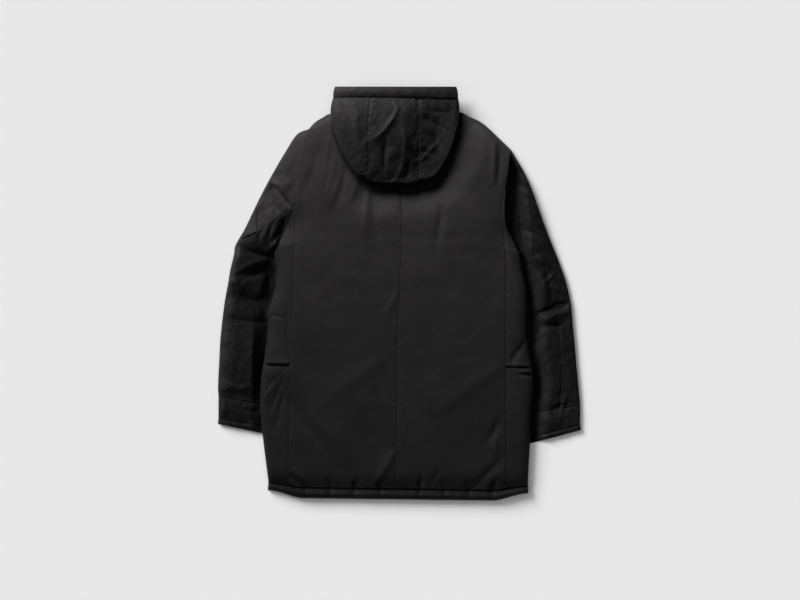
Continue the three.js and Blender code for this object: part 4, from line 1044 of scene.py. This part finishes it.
def hood_crown(row, x):
    """Height of the hood's shell, which leans down to the right."""
    sunk = 0
    for lean in HOOD_LEAN:
        within = smooth(HOOD["y"][0] - row["y"], -1, lean["within"])
        sunk = sunk + lean["slope"] * np.maximum(0, x - lean["from"]) * within
    crown = np.maximum(row["h"] - sunk, HOOD_RIM + 0.2)
    edge = np.minimum(x - row["xl"], row["xr"] - x)
    across = np.clip(2 * edge / (row["xr"] - row["xl"]), 0, 1)
    dome = lerp(rounded(edge, HOOD_EDGE_RADIUS), 1 - (1 - across) ** 2.2, HOOD_DOME)
    return HOOD_RIM + (crown - HOOD_RIM) * dome


def hood_grid(rows, columns, panel):
    """Outer and inner points of one of the hood's panels."""
    i, t = np.meshgrid(rows, columns, indexing="ij")
    row = values_at(HOOD, i)
    left, right = np.maximum(row[panel["from"]], row["xl"]), np.minimum(row[panel["to"]], row["xr"])
    x = lerp(left + GAP, right - GAP, t)
    edge = np.minimum(x - row["xl"], row["xr"] - x)
    crown = hood_crown(row, x)
    bottom = smooth(HOOD_LAST - i, 0, 1.5)
    detail = hood_detail(x, row["y"]) * smooth(edge, 0, DETAIL_REACH["hood"]) * bottom * smooth(i, 0, 0.5)
    inset = panel["inwards"] * HOOD_WALL * np.clip(1 - edge / HOOD_WALL_REACH, 0, 1)
    end = np.clip(i - HOOD_LAST + 0.6, 0, 1) / 0.6
    inner = xyz(x + inset, row["y"] + 3.5 * end, crown - HOOD_WALL + 2.5 * end)
    return xyz(x, row["y"], crown + detail), inner


def hood_rows(last, step):
    return stations([HOOD["xl"] * 0, HOOD["y"]], 0, last, step)


def make_hood():
    for name, panel in HOOD_PANELS.items():
        rows, columns = hood_rows(panel["last"], HOOD_STEP), shares(panel["width"], HOOD_STEP)
        outer, inner = hood_grid(rows, columns, panel)
        outer = sewn(outer, {"first_row": SEAM, **dict.fromkeys(panel["seams"], HOOD_SEAM)})
        if panel["inwards"]:
            stitches(outer, panel["seams"][0], 4, 0, 0.95)
        stitches(outer, "first_row", 3.5)
        wall(name, outer, inner)


def make_hood_band():
    """The face opening's rolled hem."""
    row = dict(zip(HOOD_COLUMNS, HOOD_ROWS[0]))
    t = shares(BAND_WIDTH, BAND_STEP)
    lines = []
    for k, (y, level) in enumerate(BAND):
        narrow = BAND_ENDS["narrowing"] * (1 - rounded(BAND_ENDS["front"] - y, BAND_ENDS["reach"]))
        x = lerp(row["xl"] + narrow, row["xr"] - narrow, t)
        if k <= BAND_TOP_ROWS:
            ripple = fine_noise(x + 0.8 * y, 0 * x + y * 0.3, 10) + 0.6 * fine_noise(x - y, 0 * x, 5)
            end = np.minimum(x - row["xl"], row["xr"] - x)
            puff = BAND_PUCKER * ripple * np.sin(np.pi * k / BAND_TOP_ROWS) * smooth(end, 0, 20)
            part = (level - BAND_END_TOP) / (row["h"] - BAND_END_TOP)
            top = BAND_END_TOP + part * (hood_crown(row, x) - HOOD_RIM) + puff
            z = top
        else:
            z = np.minimum(level, top - 0.4 * (k - BAND_TOP_ROWS))
        lines.append(xyz(x, 0 * x + y + GAP, z))
    outer = np.array(lines)
    inner = outer.copy()
    ends = [border_distance(outer, side) for side in ("first_column", "last_column")]
    rise = [rounded(run, BAND_SLIT["reach"]) for run in ends]
    slit = np.minimum(*(lerp(BAND_SLIT["ends"], BAND_SLIT["middle"], share) for share in rise))
    for k, (y, _) in enumerate(BAND):
        if k < BAND_TOP_ROWS:
            inner[k, :, 2] = np.minimum(slit[k], outer[k, :, 2] - BAND_WALL) + SLIT / 2
        else:
            inner[k, :, 2] = slit[k] - SLIT / 2
        inner[k, :, 1] = min(y + GAP, BAND_SLIT["front"])
    inner[..., 0] = narrowed(inner[..., 0], BAND_SLIT["share"])
    wall("hood_band", outer, inner)


def make_hood_fold():
    """The hood's hidden layers, seen only at the face opening and under the rim."""
    rows = hood_rows(HOOD_JOIN["right"] - FOLD["rows_off"], FOLD["step"])
    i, v = np.meshgrid(rows, shares(FOLD["width"], FOLD["step"]), indexing="ij")
    row = values_at(HOOD, i)
    left, right = row["xl"] + FOLD["inset"], row["xr"] - FOLD["inset"]
    x = lerp(left, right, v)
    y = row["y"] + FOLD["setback"] * np.clip(1 - i, 0, 1)
    shell = hood_crown(row, x) - HOOD_WALL - FOLD["clearance"]
    top = np.where(i < 1.6, np.minimum(shell, FOLD["under_band"]), shell)
    ends = [border_distance(xyz(x, y, x), side) for side in ("first_row", "last_row")]
    rim = np.minimum.reduce([x - left, right - x, *ends])
    low = FOLD["bottom"] + FOLD["rim"]
    top = low + (top - low) * rounded(rim, FOLD["rim_radius"])
    inner = xyz(lerp(x, x.mean(), 0.03), lerp(y, y.mean(), 0.03), 0 * x + FOLD["bottom"] + 0.2)
    wall("hood_fold", xyz(x, y, top), inner)


def make_collar():
    """The front collar: soft layers stacked on each other under the hood's opening."""
    layers, around, my = COLLAR_LAYERS, COLLAR_LAYERS["around"], COLLAR["middle"]
    mx, half = (COLLAR["left"] + COLLAR["right"]) / 2, (COLLAR["right"] - COLLAR["left"]) / 2
    a = np.linspace(0, 2 * np.pi, around, endpoint=False)
    base_x = mx + half * np.sign(np.cos(a)) * np.abs(np.cos(a)) ** 0.25
    low = np.interp(base_x, TOP_X, TOP_Y) + 2.5
    across = np.sign(np.sin(a)) * np.abs(np.sin(a)) ** 0.35
    base_y = lerp(low, COLLAR["top"], (across + 1) / 2)
    dx, dy = mx - base_x, my - base_y
    reach = np.hypot(dx, dy)
    rings = []
    for level in np.linspace(0, 1, layers["rings"]):
        phase = (level * layers["count"]) % 1.0 if level < 1 else 1.0
        inset = layers["inset"] * (1 - np.sin(np.pi * phase) ** 0.5)
        layer = np.floor(level * layers["count"])
        inset = np.maximum(inset + layers["wander"] * fine_noise(base_x, base_y + 200 * layer, 40), 0)
        z = 0 * base_x + COLLAR["lift"] + (COLLAR["height"] - 2 * COLLAR["lift"]) * level
        rings.append(xyz(base_x + dx / reach * inset, base_y + dy / reach * inset, z))

    def cap(ring, share):
        return xyz(lerp(mx, ring[:, 0], share), lerp(my, ring[:, 1], share), ring[:, 2])

    below = [cap(rings[0], share) for share in reversed(COLLAR_CAP)]
    above = [cap(rings[-1], share) for share in COLLAR_CAP]
    points = np.array(below + rings + above)
    index = np.arange(len(points) * around).reshape(-1, around)
    turned = np.roll(index, -1, axis=1)
    faces = np.stack([index[:-1], turned[:-1], turned[1:], index[1:]], axis=-1).reshape(-1, 4)
    k = np.arange(around // 2 - 1)
    first, last = (np.stack([end[k], end[k + 1], end[around - 2 - k], end[around - 1 - k]], axis=-1)
                   for end in (index[0], index[-1]))
    faces = np.concatenate([faces, first[:, ::-1], last])
    pieces["collar_front"] = mesh_object("cloth_collar_front", points.reshape(-1, 3), faces)


# Materials. Places are the object's own coordinates in metres, so sizes are metres or their inverse.
THREAD_PITCH = 0.00055  # of the shell's weave
WEAVE_SCALE = 1 / THREAD_PITCH / 6.2832 * 3.14
FLOOR_GREY = (0.796, 0.804)


def node(tree, kind, links=None, **settings):
    """A node with its inputs linked from other sockets and its other values set."""
    made = tree.nodes.new(kind)
    for name, value in settings.items():
        if hasattr(made, name):
            setattr(made, name, value)
        else:
            made.inputs[name].default_value = value
    for name, socket in (links or {}).items():
        tree.links.new(socket, made.inputs[name])
    return made


def new_material(name):
    """A material with its node tree, its shader and the object's coordinates."""
    material = bpy.data.materials.new(name)
    material.use_nodes = True
    tree = material.node_tree
    place = tree.nodes.new("ShaderNodeTexCoord").outputs["Object"]
    return material, tree, tree.nodes["Principled BSDF"], place


def set_shader(shader, **values):
    for name, value in values.items():
        shader.inputs[name.replace("_", " ")].default_value = value


def ramp(tree, socket, low, high):
    """A colour that runs from one stop to another, each a place and a colour."""
    made = node(tree, "ShaderNodeValToRGB", {"Fac": socket})
    for stop, (place, colour) in zip(made.color_ramp.elements, (low, high)):
        stop.position = place
        stop.color = (*colour, 1)
    return made.outputs["Color"]


def cloth_material(name, dark, light, roughness):
    """Matt black woven nylon: mottled colour, uneven gloss and a fine weave in its relief."""
    material, tree, shader, place = new_material(name)
    mottle = node(tree, "ShaderNodeTexNoise", {"Vector": place}, Scale=14, Detail=6, Roughness=0.62)
    mottle = mottle.outputs["Fac"]
    gloss = node(tree, "ShaderNodeMapRange", {"Value": mottle})
    gloss.inputs["To Min"].default_value = roughness - 0.05
    gloss.inputs["To Max"].default_value = roughness + 0.07
    crinkle = node(tree, "ShaderNodeTexNoise", {"Vector": place}, Scale=90, Detail=5, Roughness=0.6)
    warp, weft = (
        node(tree, "ShaderNodeTexWave", {"Vector": place}, bands_direction=direction, Scale=WEAVE_SCALE,
             Distortion=0.6).outputs["Fac"]
        for direction in ("X", "Y"))
    weave = node(tree, "ShaderNodeMath", {0: warp, 1: weft}, operation="MAXIMUM")
    coarse = node(tree, "ShaderNodeBump", {"Height": crinkle.outputs["Fac"]}, Strength=0.35, Distance=0.0012)
    relief = {"Height": weave.outputs["Value"], "Normal": coarse.outputs["Normal"]}
    fine = node(tree, "ShaderNodeBump", relief, Strength=0.25, Distance=0.00012)
    tree.links.new(ramp(tree, mottle, (0.3, dark), (0.75, light)), shader.inputs["Base Color"])
    tree.links.new(gloss.outputs["Result"], shader.inputs["Roughness"])
    tree.links.new(fine.outputs["Normal"], shader.inputs["Normal"])
    set_shader(shader, Specular_IOR_Level=0.1, Sheen_Weight=0.03, Sheen_Roughness=0.5)
    return material


def thread_material():
    material, tree, shader, place = new_material("thread_black")
    twist = node(tree, "ShaderNodeTexWave", {"Vector": place}, Scale=900, Distortion=1.0)
    bump = node(tree, "ShaderNodeBump", {"Height": twist.outputs["Fac"]}, Strength=0.4, Distance=0.0001)
    tree.links.new(bump.outputs["Normal"], shader.inputs["Normal"])
    set_shader(shader, Base_Color=(0.014, 0.0135, 0.014, 1), Roughness=0.5)
    return material


# Pieces of the garment
for side in ("left", "right"):
    make_back(side)
    for part in ("upper", "lower"):
        make_side(side, part)
make_front("left", "sl", "fly_left")
make_front("right", "fly_right", "sr")
make_front("fly", "fly_left", "fly_right")
make_hem()
for side in ("left", "right"):
    make_sleeve(side)
make_sleeve_pocket()
make_hood()
make_hood_band()
make_hood_fold()
make_collar()

shell = cloth_material("shell_nylon", (0.0094, 0.0085, 0.0088), (0.0120, 0.0108, 0.0112), 0.62)
trim = cloth_material("trim_nylon", (0.0094, 0.0085, 0.0088), (0.0126, 0.0114, 0.0118), 0.58)
lining = cloth_material("inner_nylon", (0.0075, 0.0068, 0.0071), (0.0100, 0.0091, 0.0095), 0.65)
TRIMS = ("hem_band", "cuff_band_left", "cuff_band_right", "hood_band")
INNERS = ("hood_fold", "collar_front")
ARM_PIECES = ("sleeve", "cuff")
UPPER_ARM = ("sleeve_left_top", "sleeve_pocket_left")
HOOD_PIECES = ("hood_left", "hood_centre", "hood_right", "hood_band")

for name, obj in pieces.items():
    inside = name in INNERS
    obj.data.materials.append(lining if inside else trim if name in TRIMS else shell)
    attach(obj, "root")
    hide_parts(name)

seams = stitch_mesh("stitching")
seams.data.materials.append(thread_material())
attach(seams, "root")


# Floor, light and camera
def make_floor():
    bpy.ops.mesh.primitive_plane_add(size=14, location=(0, 0, 0))
    floor = bpy.context.object
    floor.name = "floor"
    material, tree, shader, place = new_material("floor_white")
    grain = node(tree, "ShaderNodeTexNoise", {"Vector": place}, Scale=60, Detail=2).outputs["Fac"]
    low, high = ((stop, (grey,) * 3) for stop, grey in enumerate(FLOOR_GREY))
    tree.links.new(ramp(tree, grain, low, high), shader.inputs["Base Color"])
    set_shader(shader, Roughness=1, Specular_IOR_Level=0)
    floor.data.materials.append(material)
    return floor


# Suns from the upper left for the body and the hood, for the sleeves, and for the floor and its shadows,
# with a wide one as the floor's sky. A soft box past the hood lights the back and the upper left arm, so
# that they fall off towards the hem, and a smaller one lights the hood.
CLOTH_SUN = {"from": (-0.5, 0.64, 0.4), "power": 2.8, "angle": 0.45}
SLEEVE_SUN = {"from": (-0.6, 0.5, 0.4), "power": 3.9, "angle": 0.4}
FLOOR_SUN = {"from": (-0.6, 0.55, 0.45), "power": 3.84, "angle": 0.5}
FLOOR_DOME = {"from": (-0.35, 0.3, 0.9), "power": 1.15, "angle": 1.9}
SOFT_BOX = {"at": (-0.2, 1.13, 0.6), "aim": (0, 0.1, 0), "size": 0.35, "power": 24}
HOOD_BOX = {"at": (-0.5, 0.9, 0.32), "aim": (0, 0.33, 0.05), "size": 0.3, "power": 11}
FILL = 0.09
CAMERA_HEIGHT = 4.16
CAMERA_LENS = 85
CAMERA_SENSOR = 36


def receivers(name, objects):
    """The collection of what one lamp lights."""
    lit = bpy.data.collections.new(name)
    for obj in objects:
        lit.objects.link(obj)
    return lit


def make_lamp(name, kind, toward, lit, **settings):
    data = bpy.data.lights.new(name, kind)
    for key, value in settings.items():
        setattr(data, key, value)
    lamp = bpy.data.objects.new(name, data)
    lamp.rotation_euler = Vector(toward).to_track_quat("Z", "Y").to_euler()
    lamp.light_linking.receiver_collection = lit
    bpy.context.scene.collection.objects.link(lamp)
    return lamp


def make_light(floor):
    hood = [pieces[name] for name in HOOD_PIECES]
    arms = [obj for name, obj in pieces.items() if name.startswith(ARM_PIECES)]
    upper = [pieces[name] for name in UPPER_ARM]
    rest = [obj for obj in pieces.values() if obj not in hood and obj not in arms]
    ground = receivers("lit_floor", [floor])
    suns = {"cloth_sun": (CLOTH_SUN, receivers("lit_cloth", [*hood, *rest, seams])),
            "sleeve_sun": (SLEEVE_SUN, receivers("lit_arms", arms)),
            "floor_sun": (FLOOR_SUN, ground), "floor_dome": (FLOOR_DOME, ground)}
    for name, (sun, lit) in suns.items():
        make_lamp(name, "SUN", sun["from"], lit, energy=sun["power"], angle=sun["angle"])
    above = [obj for obj in rest if obj is not pieces["hem_band"]]
    boxes = {"soft_box": (SOFT_BOX, receivers("lit_flat", [*above, *upper, seams])),
             "hood_box": (HOOD_BOX, receivers("lit_hood", hood))}
    for name, (box, lit) in boxes.items():
        away = Vector(box["at"]) - Vector(box["aim"])
        make_lamp(name, "AREA", away, lit, energy=box["power"], size=box["size"]).location = box["at"]
    world = bpy.data.worlds.new("studio")
    world.use_nodes = True
    back = world.node_tree.nodes["Background"]
    back.inputs["Color"].default_value = (1, 1, 1, 1)
    back.inputs["Strength"].default_value = FILL
    bpy.context.scene.world = world


def make_camera():
    data = bpy.data.cameras.new("photo")
    data.lens = CAMERA_LENS
    data.sensor_width = CAMERA_SENSOR
    camera = bpy.data.objects.new("photo", data)
    x, y = from_photo(*PHOTO_CENTRE)
    camera.location = (float(x) * MM, float(y) * MM, CAMERA_HEIGHT)
    bpy.context.scene.collection.objects.link(camera)
    bpy.context.scene.camera = camera


make_light(make_floor())
make_camera()
bpy.context.scene.view_settings.view_transform = "Standard"
